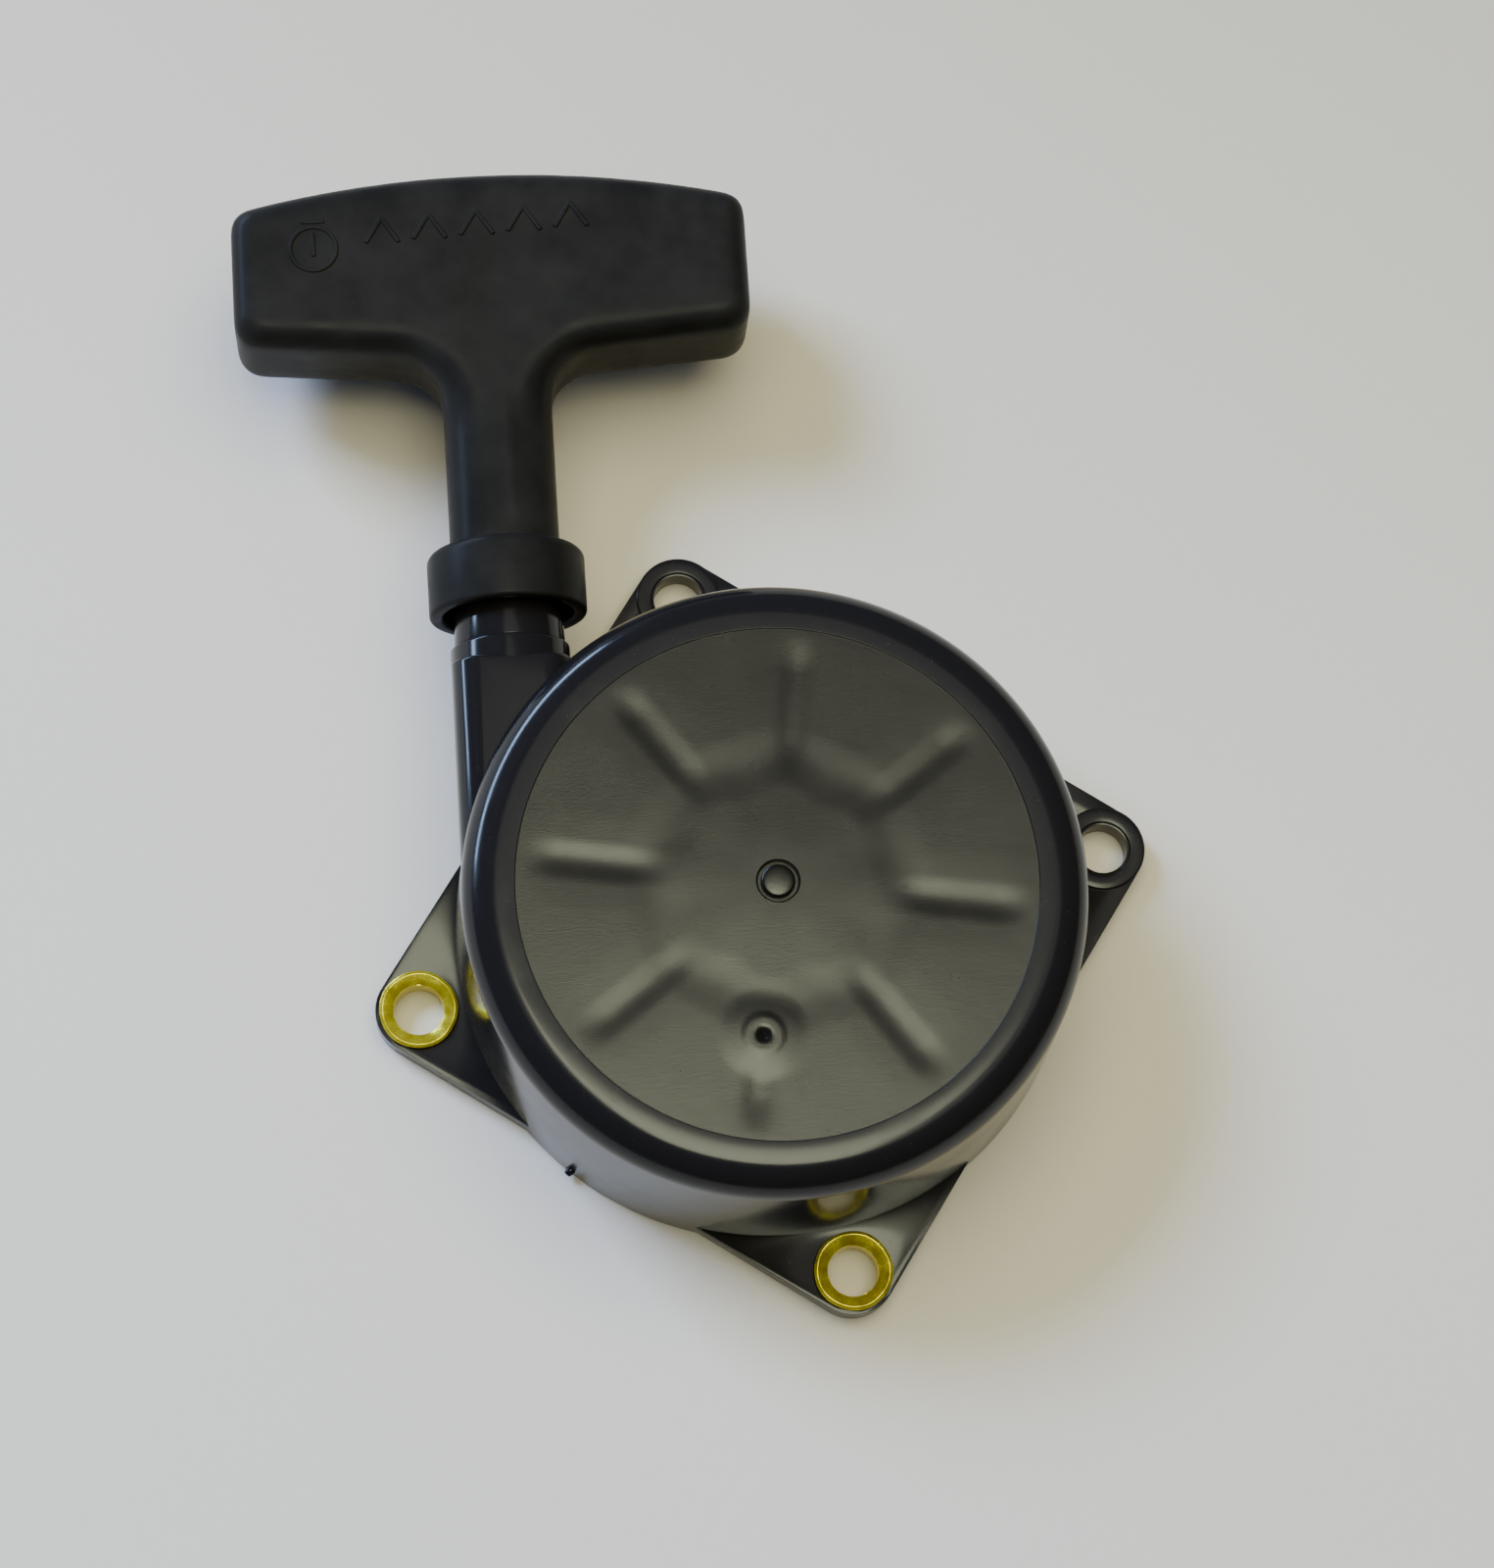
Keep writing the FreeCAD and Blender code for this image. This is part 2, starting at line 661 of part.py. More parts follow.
def make_recoil_spring():
    """Flat spiral strip: its outer end hooks out through the ring's slot and its inner end into
    the reel's neck."""
    start = number(f"{RING_INNER} - spring_side_gap - strip / 2")
    inner = number("neck_radius + strip")
    packed, opened = int(number("packed_turns")), int(number("open_turns"))
    packed_pitch, reach, radius = number("packed_pitch"), number("hook_reach"), number("hook_bend")
    open_pitch = (start - packed * packed_pitch - inner) / opened
    coil, last = half_circles(start, [packed_pitch] * 2 * packed + [open_pitch] * 2 * opened)
    outer_end = [
        straight((-start - 2 * radius, reach + radius), (-start - radius, reach + radius)),
        bend((-start - radius, reach), radius, 90, -90),
        straight((-start, reach), (-start, 0)),
    ]
    inner_end = [
        bend((last + radius, 0), radius, 180, 90),
        straight((last + radius, -radius), (last + 2 * radius, -radius)),
    ]
    half, height = number("strip / 2"), number("spring_height")
    x, y = -start - 2 * radius, reach + radius
    corners = [(x, y - half, 0), (x, y + half, 0), (x, y + half, height), (x, y - half, height)]
    section = Part.makePolygon([FreeCAD.Vector(*corner) for corner in corners + corners[:1]])
    strip = swept("recoil_spring", outer_end + coil + inner_end, section)
    stored("recoil_spring", strip.mirror(FreeCAD.Vector(0, 0, 0), FreeCAD.Vector(0, 1, 0)), z=SPRING_FOOT)


def rope_section(spot, way):
    circle = Part.Circle(FreeCAD.Vector(*spot, 0), FreeCAD.Vector(*way, 0), number("rope_diameter / 2"))
    return Part.Wire(circle.toShape())


def knot_place():
    """Centre of the knot at the rope's inner end, in plan; the rope runs into it by the end's bite."""
    last = -number(f"{EXIT_RADIUS} - rope_turns * {ROPE_PITCH}")
    angle = math.radians(180 + KNOT_TURN)
    reach = number("knot_radius - knot_bite")
    x = last + KNOT_BEND + KNOT_BEND * math.cos(angle) - reach * math.sin(angle)
    return x, KNOT_BEND * math.sin(angle) + reach * math.cos(angle)


def make_rope():
    """The rope in three stretches: wound in one layer on the reel, straight to the handle, and a
    knot at each end."""
    start, pitch = number(EXIT_RADIUS), number(ROPE_PITCH)
    coil, last = half_circles(start, [pitch] * 2 * int(number("rope_turns")))
    coil.append(bend((last + KNOT_BEND, 0), KNOT_BEND, 180, KNOT_TURN))
    stored("rope_on_reel", swept("rope_on_reel", coil, rope_section((-start, 0), (0, 1))), z=ROPE_LEVEL)
    x, y = knot_place()
    knot = doc.addObject("Part::Sphere", "reel_knot")
    place(bind(knot, Radius="knot_radius"), str(x), str(y), KNOT_LEVEL)
    run = cylinder("rope_run", "rope_diameter / 2", "pocket_floor + knot_washer + knot_radius / 2")
    along_pull(run)
    end = doc.addObject("Part::Sphere", "handle_knot")
    bind(end, Radius="knot_radius")
    place(end, f"-{EXIT_RADIUS}", "pocket_floor + knot_washer + knot_radius", ROPE_LEVEL)


def along_pull(thing, start="0"):
    """Lays a cylinder along the rope's run to the handle."""
    thing.Placement = FreeCAD.Placement(FreeCAD.Vector(), FreeCAD.Rotation(FreeCAD.Vector(1, 0, 0), -90))
    place(thing, f"-{EXIT_RADIUS}", start, ROPE_LEVEL)


def make_spring_cover():
    """Steel plate under the spring, on the ring and the screw bosses, with a hole for the reel's neck."""
    body = new_body("spring_cover")
    level = ("0", "0", COVER_FOOT)
    pad(body, "plate", ring(body, "plate_ring", ("0", "0"), COVER_RADIUS, offset=level), "cover_thickness")
    bore = ring(body, "neck_hole_ring", ("0", "0"), "neck_radius + cover_bore_gap", offset=level)
    cut(body, "neck_hole", bore, "cover_thickness", back=True)
    spot = (SCREW_CIRCLE, "0")
    hole = cut(body, "screw_hole", ring(body, "screw_ring", spot, "screw_shank", offset=level),
               "cover_thickness", back=True)
    around(body, "screw_holes", [hole], "screw_count")


def make_spring_cover_screws():
    members = []
    for index in range(SIZES["screw_count"]):
        x, y = polar(SCREW_CIRCLE, f"360 / screw_count * {index}")
        screw = doc.addObject("Part::Fuse", f"cover_screw_{index}")
        screw.Base = cylinder(f"screw_head_{index}", "screw_head", "screw_head_height", x, y,
                              f"{COVER_FOOT} - screw_head_height")
        screw.Tool = cylinder(f"screw_shank_{index}", "screw_shank", "screw_length", x, y, COVER_FOOT)
        members.append(screw)
    group("spring_cover_screws", members)


# ---- reel ----------------------------------------------------------------------------------------

def make_reel():
    body = new_body("reel")
    half = f"{GROOVE_WIDTH} / 2"
    profile = outline(body, "reel_profile", [
        (BUSH_OUTER, REEL_FOOT),
        (HUB_OUTER, REEL_FOOT),
        (HUB_OUTER, FLANGE_FOOT),
        (REEL_RADIUS, FLANGE_FOOT),
        (REEL_RADIUS, f"{ROPE_LEVEL} - {half}"),
        (GROOVE_FLOOR, f"{ROPE_LEVEL} - {half}"),
        (GROOVE_FLOOR, f"{ROPE_LEVEL} + {half}"),
        (REEL_RADIUS, f"{ROPE_LEVEL} + {half}"),
        (REEL_RADIUS, REEL_TOP),
        ("neck_radius", REEL_TOP),
        ("neck_radius", NECK_TOP),
        (BUSH_OUTER, NECK_TOP),
    ])
    turned(body, "reel_turning", profile)
    rib = outline(body, "rib_outline", [
        ("-rib_width / 2", f"{FLANGE_FOOT} - rib_depth"),
        ("rib_width / 2", f"{FLANGE_FOOT} - rib_depth"),
        ("rib_width / 2", f"{FLANGE_FOOT} + reel_flange / 2"),
        ("-rib_width / 2", f"{FLANGE_FOOT} + reel_flange / 2"),
    ], "XZ_Plane", ("0", "0", f"rib_root - {HUB_OUTER}"))
    raised = pad(body, "rib", rib, f"{REEL_RADIUS} - {HUB_OUTER} - rib_width", back=True)
    around(body, "ribs", [raised], "rib_count")
    reel_pockets(body)


def reel_pockets(body):
    """The rope's knot pocket with its way in, the pawl pins' and springs' holes, and the spring's
    slot in the neck."""
    x, y = knot_place()
    knot = ring(body, "knot_ring", (str(x), str(y)), "knot_radius + rope_spacing * 3",
                offset=("0", "0", REEL_FOOT))
    cut(body, "knot_pocket", knot, f"{ROPE_LEVEL} + {GROOVE_WIDTH} / 2 - {REEL_FOOT}", back=True)
    last = f"({EXIT_RADIUS} - rope_turns * {ROPE_PITCH})"
    way = "rope_diameter / 2 + rope_spacing * 2"
    mouth = outline(body, "rope_way_outline", [
        (f"-{last} - {way}", "-rope_diameter * 1.6"),
        (str(x), "-rope_diameter * 1.6"),
        (str(x), "0"),
        (f"-{last} + {way}", "rope_diameter"),
        (f"-{last} - {way}", "rope_diameter"),
    ], "XY_Plane", ("0", "0", f"{ROPE_LEVEL} - {GROOVE_WIDTH} / 2"))
    cut(body, "rope_way", mouth, GROOVE_WIDTH, back=True)
    for name, angle in PAWL_ANGLES.items():
        spot = polar("pivot_circle", angle)
        foot = ("0", "0", REEL_FOOT)
        pin_hole = ring(body, f"pin_ring_{name}", spot, "pivot_pin", offset=foot)
        cut(body, f"pin_hole_{name}", pin_hole, "pawl_thickness * 1.5", back=True)
        spring_room = ring(body, f"spring_ring_{name}", spot, "pivot_pin + 3 * pawl_wire", offset=foot)
        cut(body, f"spring_room_{name}", spring_room, "5 * pawl_wire", back=True)
    slot = outline(body, "neck_slot_outline", [
        ("-neck_radius - strip", "hook_bend - 1.2 * strip"),
        ("-neck_radius + 4 * strip", "hook_bend - 1.2 * strip"),
        ("-neck_radius + 4 * strip", "hook_bend + 1.2 * strip"),
        ("-neck_radius - strip", "hook_bend + 1.2 * strip"),
    ], "XY_Plane", ("0", "0", f"{SPRING_FOOT} - spring_gap"))
    cut(body, "neck_slot", slot, "spring_height + 2 * spring_gap", back=True)


def make_reel_bush():
    hollow("reel_bush", BUSH_OUTER, BUSH_BORE, f"{NECK_TOP} - {REEL_FOOT}", z=REEL_FOOT)


# ---- pawls, their guide and the screw in the middle ----------------------------------------------

def make_pawls():
    """Two steel pawls with a cam pin underneath; each turns on a pin held in the reel."""
    pins = []
    for name, angle in PAWL_ANGLES.items():
        body = new_body(f"pawl_{name}")
        body.Placement = FreeCAD.Placement(
            FreeCAD.Vector(), FreeCAD.Rotation(FreeCAD.Vector(0, 0, 1), angle - 90))
        place(body, *polar("pivot_circle", angle), PAWL_FOOT)
        arm = outline(body, "arm_outline", [
            ("0", "-pawl_boss + 0.1"),
            ("pawl_reach * 0.7", "-pawl_boss * 0.8"),
            ("pawl_reach", "-pawl_boss / 2"),
            ("pawl_reach * 0.97", "pawl_boss / 4"),
            ("pawl_reach * 0.68", "pawl_boss * 0.85"),
            ("0", "pawl_boss - 0.1"),
        ], "XY_Plane")
        pad(body, "arm", arm, "pawl_thickness")
        pad(body, "boss", ring(body, "boss_ring", ("0", "0"), "pawl_boss"), "pawl_thickness")
        bore = ring(body, "pivot_ring", ("0", "0"), "pivot_pin + running_gap")
        cut(body, "pivot", bore, "pawl_thickness", back=True)
        cam = ring(body, "cam_ring", ("cam_arm", "0"), "cam_pin", offset=("0", "0", "cam_root"))
        pad(body, "cam", cam, "guide_gap + guide_thickness + cam_root + cam_tip", back=True)
        pins.append(cylinder(f"pin_{name}", "pivot_pin", "pawl_thickness * 2.5",
                             *polar("pivot_circle", angle),
                             f"{REEL_FOOT} - pawl_gap - pawl_thickness"))
    group("pawl_pins", pins)


def close_coil(name, radius, wire, height, turns, x="0", y="0", z="0"):
    """A close-wound spring: rings of round wire a little inside one another, up to a given height
    over all."""
    pitch = f"({height} - {wire}) / ({turns} - 1)"
    rings = []
    for turn in range(SIZES[turns]):
        ring_of_wire = bind(doc.addObject("Part::Torus", f"{name}_{turn}"),
                            Radius1=radius, Radius2=f"{wire} / 2")
        rings.append(place(ring_of_wire, x, y, f"{z} + {wire} / 2 + {turn} * {pitch}"))
    coil = doc.addObject("Part::MultiFuse", name)
    coil.Shapes = rings
    coil.Label = name


def make_small_springs():
    """A spring in the reel over each pawl, and the friction spring that presses on the pawl guide."""
    for name, angle in PAWL_ANGLES.items():
        close_coil(f"pawl_spring_{name}", "pivot_pin + 1.5 * pawl_wire", "pawl_wire", "3.9 * pawl_wire",
                   "pawl_spring_turns", *polar("pivot_circle", angle), REEL_FOOT)
    guide_top = f"({PAWL_FOOT} - guide_gap)"
    close_coil("friction_spring", "stud_radius + 2.5 * wire", "wire", f"({REEL_FOOT} - {guide_top})",
               "friction_turns", z=guide_top)


def make_pawl_guide():
    """Steel plate that lags behind the reel; its slots swing the pawls out."""
    body = new_body("pawl_guide")
    level = ("0", "0", GUIDE_FOOT)
    middle = ring(body, "middle_ring", ("0", "0"), "guide_radius", offset=level)
    pad(body, "middle", middle, "guide_thickness")
    x = "(cam_arm * cos(pawl_swing * 1 deg))"
    y = "(pivot_circle + cam_arm * sin(pawl_swing * 1 deg))"
    turn_cos, turn_sin = "cos(guide_turn * 1 deg)", "sin(guide_turn * 1 deg)"
    first = ("cam_arm", "pivot_circle")
    last = (f"{x} * {turn_cos} + {y} * {turn_sin}", f"{y} * {turn_cos} - {x} * {turn_sin}")
    ear = pad(body, "ear", obround(body, "ear_outline", first, last, "guide_ear", level), "guide_thickness")
    around(body, "ears", [ear], 2)
    width = "cam_pin + cam_play"
    slot = cut(body, "slot", obround(body, "slot_outline", first, last, width, level),
               "guide_thickness", back=True)
    around(body, "slots", [slot], 2)
    bore = ring(body, "bore_ring", ("0", "0"), "stud_radius + 2 * running_gap", offset=level)
    cut(body, "bore", bore, "guide_thickness", back=True)


def make_centre_screw():
    hollow("centre_washer", "washer_radius", "centre_screw", "washer_thickness",
           z=f"{STUD_FOOT} - washer_thickness")
    body = new_body("centre_screw")
    head_foot = f"({STUD_FOOT} - washer_thickness - centre_head_height)"
    profile = outline(body, "screw_profile", [
        ("0", head_foot),
        ("centre_head", head_foot),
        ("centre_head", f"{head_foot} + centre_head_height"),
        ("centre_screw", f"{head_foot} + centre_head_height"),
        ("centre_screw", f"{STUD_FOOT} + centre_screw_length - centre_screw"),
        ("0", f"{STUD_FOOT} + centre_screw_length - centre_screw"),
    ])
    turned(body, "screw", profile)
    across = [polar("centre_head * 0.4", 60 * k) for k in range(6)]
    socket = outline(body, "socket_outline", across, "XY_Plane", ("0", "0", head_foot))
    cut(body, "socket", socket, "centre_head_height * 0.7", back=True)


# ---- handle --------------------------------------------------------------------------------------

def make_handle():
    """T grip with its stem and the skirt that slides over the nose, bored for the rope, with a
    pocket for the knot."""
    body = new_body("handle_grip")
    place(body, f"-{EXIT_RADIUS}", "0", ROPE_LEVEL)
    half, stem = "grip_width / 2", "stem_width / 2"
    low_end = "grip_low + grip_rise"
    crown = "((grip_width / 2)^2 + grip_crown^2) / (2 * grip_crown)"
    shape = outline(body, "grip_outline", [
        (f"-{half}", low_end),
        (f"-{stem}", "grip_low"),
        (f"-{stem}", "skirt_end - 1"),
        (stem, "skirt_end - 1"),
        (stem, "grip_low"),
        (half, low_end),
        (half, "grip_side"),
        (f"-{half}", "grip_side"),
    ], "XY_Plane", arcs={6: crown})
    pad(body, "grip", shape, "grip_thickness", both=True)
    up = FreeCAD.Vector(0, 0, 1)
    reach, inner = number("grip_width / 2"), number(stem)

    def beside_stem(edge):
        middle = edge.CenterOfMass
        return runs_along(edge, up) and abs(abs(middle.x) - inner) < 0.1 and middle.y > number("skirt_end")

    def at_ends(edge):
        return runs_along(edge, up) and abs(abs(edge.CenterOfMass.x) - reach) < 0.1

    rounded(body, "stem_fillets", "stem_fillet", beside_stem)
    rounded(body, "end_corners", "grip_thickness / 5", at_ends)
    turning = outline(body, "stem_turning_profile", [
        (stem, "skirt_end - 2"),
        ("grip_width", "skirt_end - 2"),
        ("grip_width", "grip_low"),
        (f"{stem} + stem_fillet", "grip_low"),
        (stem, "grip_low - 1.2 * stem_fillet"),
    ], "XY_Plane")
    turned(body, "stem_turning", turning, "Groove")
    skirt = outline(body, "skirt_profile", [
        ("0", SEAT),
        (SKIRT_BORE, SEAT),
        (SKIRT_BORE, "skirt_start"),
        ("skirt_radius", "skirt_start"),
        ("skirt_radius", "skirt_end"),
        ("0", "skirt_end"),
    ], "XY_Plane")
    turned(body, "skirt", skirt)
    outer, end = number("skirt_radius"), number("skirt_end")
    rounded(body, "skirt_rounding", f"(skirt_radius - {SKIRT_BORE}) * 0.8",
            lambda edge: circle_at(edge, outer, end, "y"))
    bore = outline(body, "rope_way_profile", [
        ("0", SEAT),
        (HANDLE_BORE, SEAT),
        (HANDLE_BORE, "pocket_floor"),
        ("pocket_radius", "pocket_floor"),
        ("pocket_radius", "grip_side + 2 * grip_crown"),
        ("0", "grip_side + 2 * grip_crown"),
    ], "XY_Plane")
    turned(body, "rope_way", bore, "Groove")
    sleeve = hollow("knot_washer", "pocket_radius", HANDLE_BORE, "knot_washer")
    for piece in (sleeve.Base, sleeve.Tool):
        along_pull(piece, "pocket_floor")


# ---- checks and export ---------------------------------------------------------------------------

NODES = [
    "starter_case", "mounting_collars", "pivot_stud", "rope_guide", "recoil_spring", "spring_cover",
    "spring_cover_screws", "reel", "reel_bush", "rope_on_reel", "reel_knot", "rope_run", "handle_knot",
    "handle_grip", "knot_washer", "pawl_a", "pawl_b", "pawl_pins", "pawl_spring_a", "pawl_spring_b",
    "pawl_guide", "friction_spring", "centre_washer", "centre_screw",
]


def check_and_export():
    doc.recompute()
    failed = [item.Name for item in doc.Objects if {"Invalid", "Error"} & set(item.State)]
    if failed:
        raise RuntimeError(f"these objects did not compute: {failed}")
    pieces = {item.Label: item for item in doc.Objects if item.Label in NODES}
    missing = sorted(set(NODES) - set(pieces))
    if missing:
        raise RuntimeError(f"these sub-parts are missing: {missing}")
    os.makedirs("parts", exist_ok=True)
    for node in NODES:
        shape = pieces[node].Shape
        if shape.isNull() or not shape.isValid() or not shape.Solids:
            raise RuntimeError(f"{node} has no valid solid")
        shape.exportStep(f"parts/{node}.step")
        print(f"{node}: {len(shape.Solids)} solid, {shape.Volume:.1f} mm3")


fill_sheet()
make_case()
make_mounting_collars()
make_pivot_stud()
make_rope_guide()
make_recoil_spring()
make_rope()
make_spring_cover()
make_spring_cover_screws()
make_reel()
make_reel_bush()
make_pawls()
make_small_springs()
make_pawl_guide()
make_centre_screw()
make_handle()
check_and_export()
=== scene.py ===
import math
import bmesh
import bpy
from mathutils import Matrix, Vector


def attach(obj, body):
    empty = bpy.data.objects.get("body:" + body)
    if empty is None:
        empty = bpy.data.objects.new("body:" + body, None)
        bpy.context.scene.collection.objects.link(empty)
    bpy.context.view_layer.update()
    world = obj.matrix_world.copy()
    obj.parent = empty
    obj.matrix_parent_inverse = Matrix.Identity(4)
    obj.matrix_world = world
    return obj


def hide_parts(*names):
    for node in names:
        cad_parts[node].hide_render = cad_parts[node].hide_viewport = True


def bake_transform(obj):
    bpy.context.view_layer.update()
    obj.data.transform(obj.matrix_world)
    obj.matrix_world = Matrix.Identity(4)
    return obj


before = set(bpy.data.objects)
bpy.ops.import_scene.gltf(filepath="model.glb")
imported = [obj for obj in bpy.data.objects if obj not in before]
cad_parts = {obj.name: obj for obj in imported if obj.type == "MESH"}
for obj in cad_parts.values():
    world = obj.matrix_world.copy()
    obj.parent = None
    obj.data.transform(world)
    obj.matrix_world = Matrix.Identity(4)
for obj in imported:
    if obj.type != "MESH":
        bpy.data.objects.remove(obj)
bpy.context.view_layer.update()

# Recoil starter, in metres in the row frame: +Z is the cover side and the rope is pulled along +Y.
# The sizes below are in mm.

MM = 0.001

DRUM_TOP = 33.1
DRUM_RADIUS = 42.1
DRUM_FLARE = 1.2               # the drum is this much wider at its foot
SHOULDER = 5.1                 # its top edge's rounding
CAVITY_RADIUS = 39.9
CEILING = 30.9
FIELD_RADIUS = 35.1            # matt field on the cover
FIELD_DROP = 0.25
VALLEY_RADIUS = 17.0
CREASE_TURN = math.radians(-8.9)
FLANGE_HALF = 41.0
FLANGE_THICK = 4.0
FLANGE_CORNER = 6.0
SLEEVE_CORNERS = (2, 3)        # of the four, from the right one anticlockwise
PLAIN_CORNERS = (0, 1)
SLEEVE_RADIUS = 5.4
BOLT_HOLE_RADIUS = 3.5
BOLT_CIRCLE = 49.497
BOLT_TURN = 10.57
TUBE = Vector((-33.7, 0, 19.0))    # the rope tube's axis, along +Y
TUBE_RADIUS = 8.25
GATE = Vector((-3.3, -20.7, 0))    # where the cover was moulded from
NIB_TURN = math.radians(228.2)


# ---- shader nodes ------------------------------------------------------------------------------

class Wire:
    """A shader socket that Python's operators work on."""

    def __init__(self, finish, socket):
        self.finish, self.socket = finish, socket

    def _sum(self, operation, a, b):
        return self.finish.node("Math", {"operation": operation}, {0: a, 1: b})

    def __add__(self, other):
        return self._sum("ADD", self, other)

    def __sub__(self, other):
        return self._sum("SUBTRACT", self, other)

    def __mul__(self, other):
        return self._sum("MULTIPLY", self, other)

    __radd__ = __add__
    __rmul__ = __mul__


class Finish:
    """A material with its nodes."""

    def __init__(self, name, **shader):
        self.material = bpy.data.materials.new(name)
        self.material.use_nodes = True
        self.tree = self.material.node_tree
        self.tree.nodes.clear()
        self.spot = self.node("TexCoord", output="Object")
        self.shader = self.node("BsdfPrincipled", {}, shader, output="BSDF")
        self.node("OutputMaterial", {}, {"Surface": self.shader})

    def node(self, kind, settings=None, inputs=None, output=0):
        made = self.tree.nodes.new("ShaderNode" + kind)
        for key, value in (settings or {}).items():
            if key == "stops":
                ramp = made.color_ramp.elements
                while len(ramp) < len(value):
                    ramp.new(0.5)
                for stop, (place, shade) in zip(ramp, value):
                    stop.position, stop.color = place, shade
            else:
                setattr(made, key, value)
        for key, value in (inputs or {}).items():
            if isinstance(value, Wire):
                self.tree.links.new(value.socket, made.inputs[key])
            else:
                made.inputs[key].default_value = value
        found = made.outputs
        return Wire(self, found[output]) if len(found) else None

    def feed(self, **links):
        """Links what varies over the surface into the shader: base, rough, metal or normal."""
        names = {"base": "Base Color", "rough": "Roughness", "metal": "Metallic", "normal": "Normal"}
        for key, value in links.items():
            self.tree.links.new(value.socket, self.shader.socket.node.inputs[names[key]])

    def noise(self, size, detail=3.0, roughness=0.5, stretch=(1, 1, 1), offset=(0, 0, 0)):
        """Cloudy grey between 0 and 1 whose blobs are about size mm across."""
        where = self.node("Mapping", {}, {"Vector": self.spot, "Scale": stretch, "Location": offset})
        return self.node("TexNoise", {}, {"Vector": where, "Scale": 1 / (size * MM), "Detail": detail,
                                         "Roughness": roughness})

    def between(self, value, low, high, out_low=0.0, out_high=1.0):
        """The value's range low to high, carried over to another and kept within it."""
        return self.node("MapRange", {"clamp": True},
                         {"Value": value, 1: low, 2: high, 3: out_low, 4: out_high})

    def ramp(self, value, *stops):
        return self.node("ValToRGB", {"stops": stops}, {"Fac": value})

    def mix(self, share, a, b):
        """Colour a where share is 0 and b where it is 1."""
        return self.node("Mix", {"data_type": "RGBA"}, {0: share, 6: a, 7: b}, output=2)

    def bumps(self, *layers):
        """Bump nodes stacked from (height, mm of depth, strength)."""
        normal = None
        for height, depth, strength in layers:
            inputs = {"Height": height, "Distance": depth * MM, "Strength": strength}
            if normal:
                inputs["Normal"] = normal
            normal = self.node("Bump", {}, inputs)
        return normal


def polished_case():
    """Glossy black moulding: slow waves, a few rubbed patches and fine dust."""
    made = Finish("polished_case", **{"Base Color": (0.012, 0.012, 0.014, 1), "IOR": 1.32})
    waves, rub, dust = made.noise(14, 2), made.noise(9, 4, 0.6, offset=(0.1, 0, 0)), made.noise(0.35, 2)
    specks = made.between(dust, 0.70, 0.78)
    worn = made.between(rub, 0.5, 0.75)
    made.feed(base=made.mix(specks * 0.5, (0.010, 0.010, 0.012, 1), (0.045, 0.044, 0.040, 1)),
              rough=0.15 + worn * 0.07 + specks * 0.2,
              normal=made.bumps((waves, 0.10, 0.25), (made.noise(0.9, 3), 0.01, 0.15)))
    return made.material


def matt_field():
    """Finely spark-textured plastic of the cover's field."""
    made = Finish("matt_field", **{"IOR": 1.40})
    grain, patch = made.noise(0.22, 3, 0.6), made.noise(11, 3, 0.55)
    smear = made.noise(3.0, 4, 0.6, stretch=(1, 0.5, 1))
    made.feed(base=made.ramp(patch, (0.25, (0.004, 0.004, 0.003, 1)), (0.75, (0.007, 0.0068, 0.0055, 1))),
              rough=made.between(patch * 0.6 + smear * 0.4, 0.3, 0.7, 0.21, 0.29),
              normal=made.bumps((patch, 0.15, 0.2), (grain, 0.03, 0.6)))
    return made.material


def satin_handle():
    """Satin black plastic, rubbed shinier in patches, with a faint moulded grain."""
    made = Finish("satin_handle", **{"IOR": 1.14})
    grain, patch = made.noise(0.28, 3, 0.6), made.noise(8, 3, 0.6)
    rub = made.noise(3.2, 5, 0.65, stretch=(0.6, 1, 1))
    worn = made.between(rub, 0.48, 0.68)
    made.feed(base=made.ramp(patch, (0.3, (0.011, 0.0115, 0.012, 1)), (0.7, (0.018, 0.0185, 0.019, 1))),
              rough=made.between(patch, 0.3, 0.7, 0.34, 0.46) - worn * 0.08,
              normal=made.bumps((patch, 0.25, 0.15), (rub, 0.06, 0.2), (grain, 0.03, 0.4)))
    return made.material


def moulded_nylon():
    """Dark grey nylon of the reel, with dulled and oily areas."""
    made = Finish("moulded_nylon", **{"IOR": 1.5})
    grain, patch = made.noise(0.3, 3, 0.6), made.noise(7, 4, 0.6)
    made.feed(base=made.ramp(patch, (0.3, (0.028, 0.028, 0.030, 1)), (0.75, (0.050, 0.050, 0.053, 1))),
              rough=made.between(patch, 0.3, 0.7, 0.30, 0.52), normal=made.bumps((grain, 0.03, 0.35)))
    return made.material


def metal(name, dark, light, rough, size=4.0, scratch=0.35, pit=0.25, metallic=1.0):
    """A worn metal: clouded colour, fine turned or ground scratches and small pits. Below 1, metallic
    lets it show the lamps that don't show in polish."""
    made = Finish(name, Metallic=metallic)
    cloud, pits = made.noise(size, 4, 0.6), made.noise(0.8, 3, 0.6)
    fine = made.noise(0.5, 4, 0.7, stretch=(1, 1, 6))
    made.feed(base=made.ramp(cloud, (0.3, (*dark, 1)), (0.7, (*light, 1))),
              rough=made.between(cloud * 0.5 + fine * 0.5, 0.3, 0.7, rough[0], rough[1]),
              normal=made.bumps((fine, 0.02, scratch), (pits, 0.05, pit)))
    return made.material


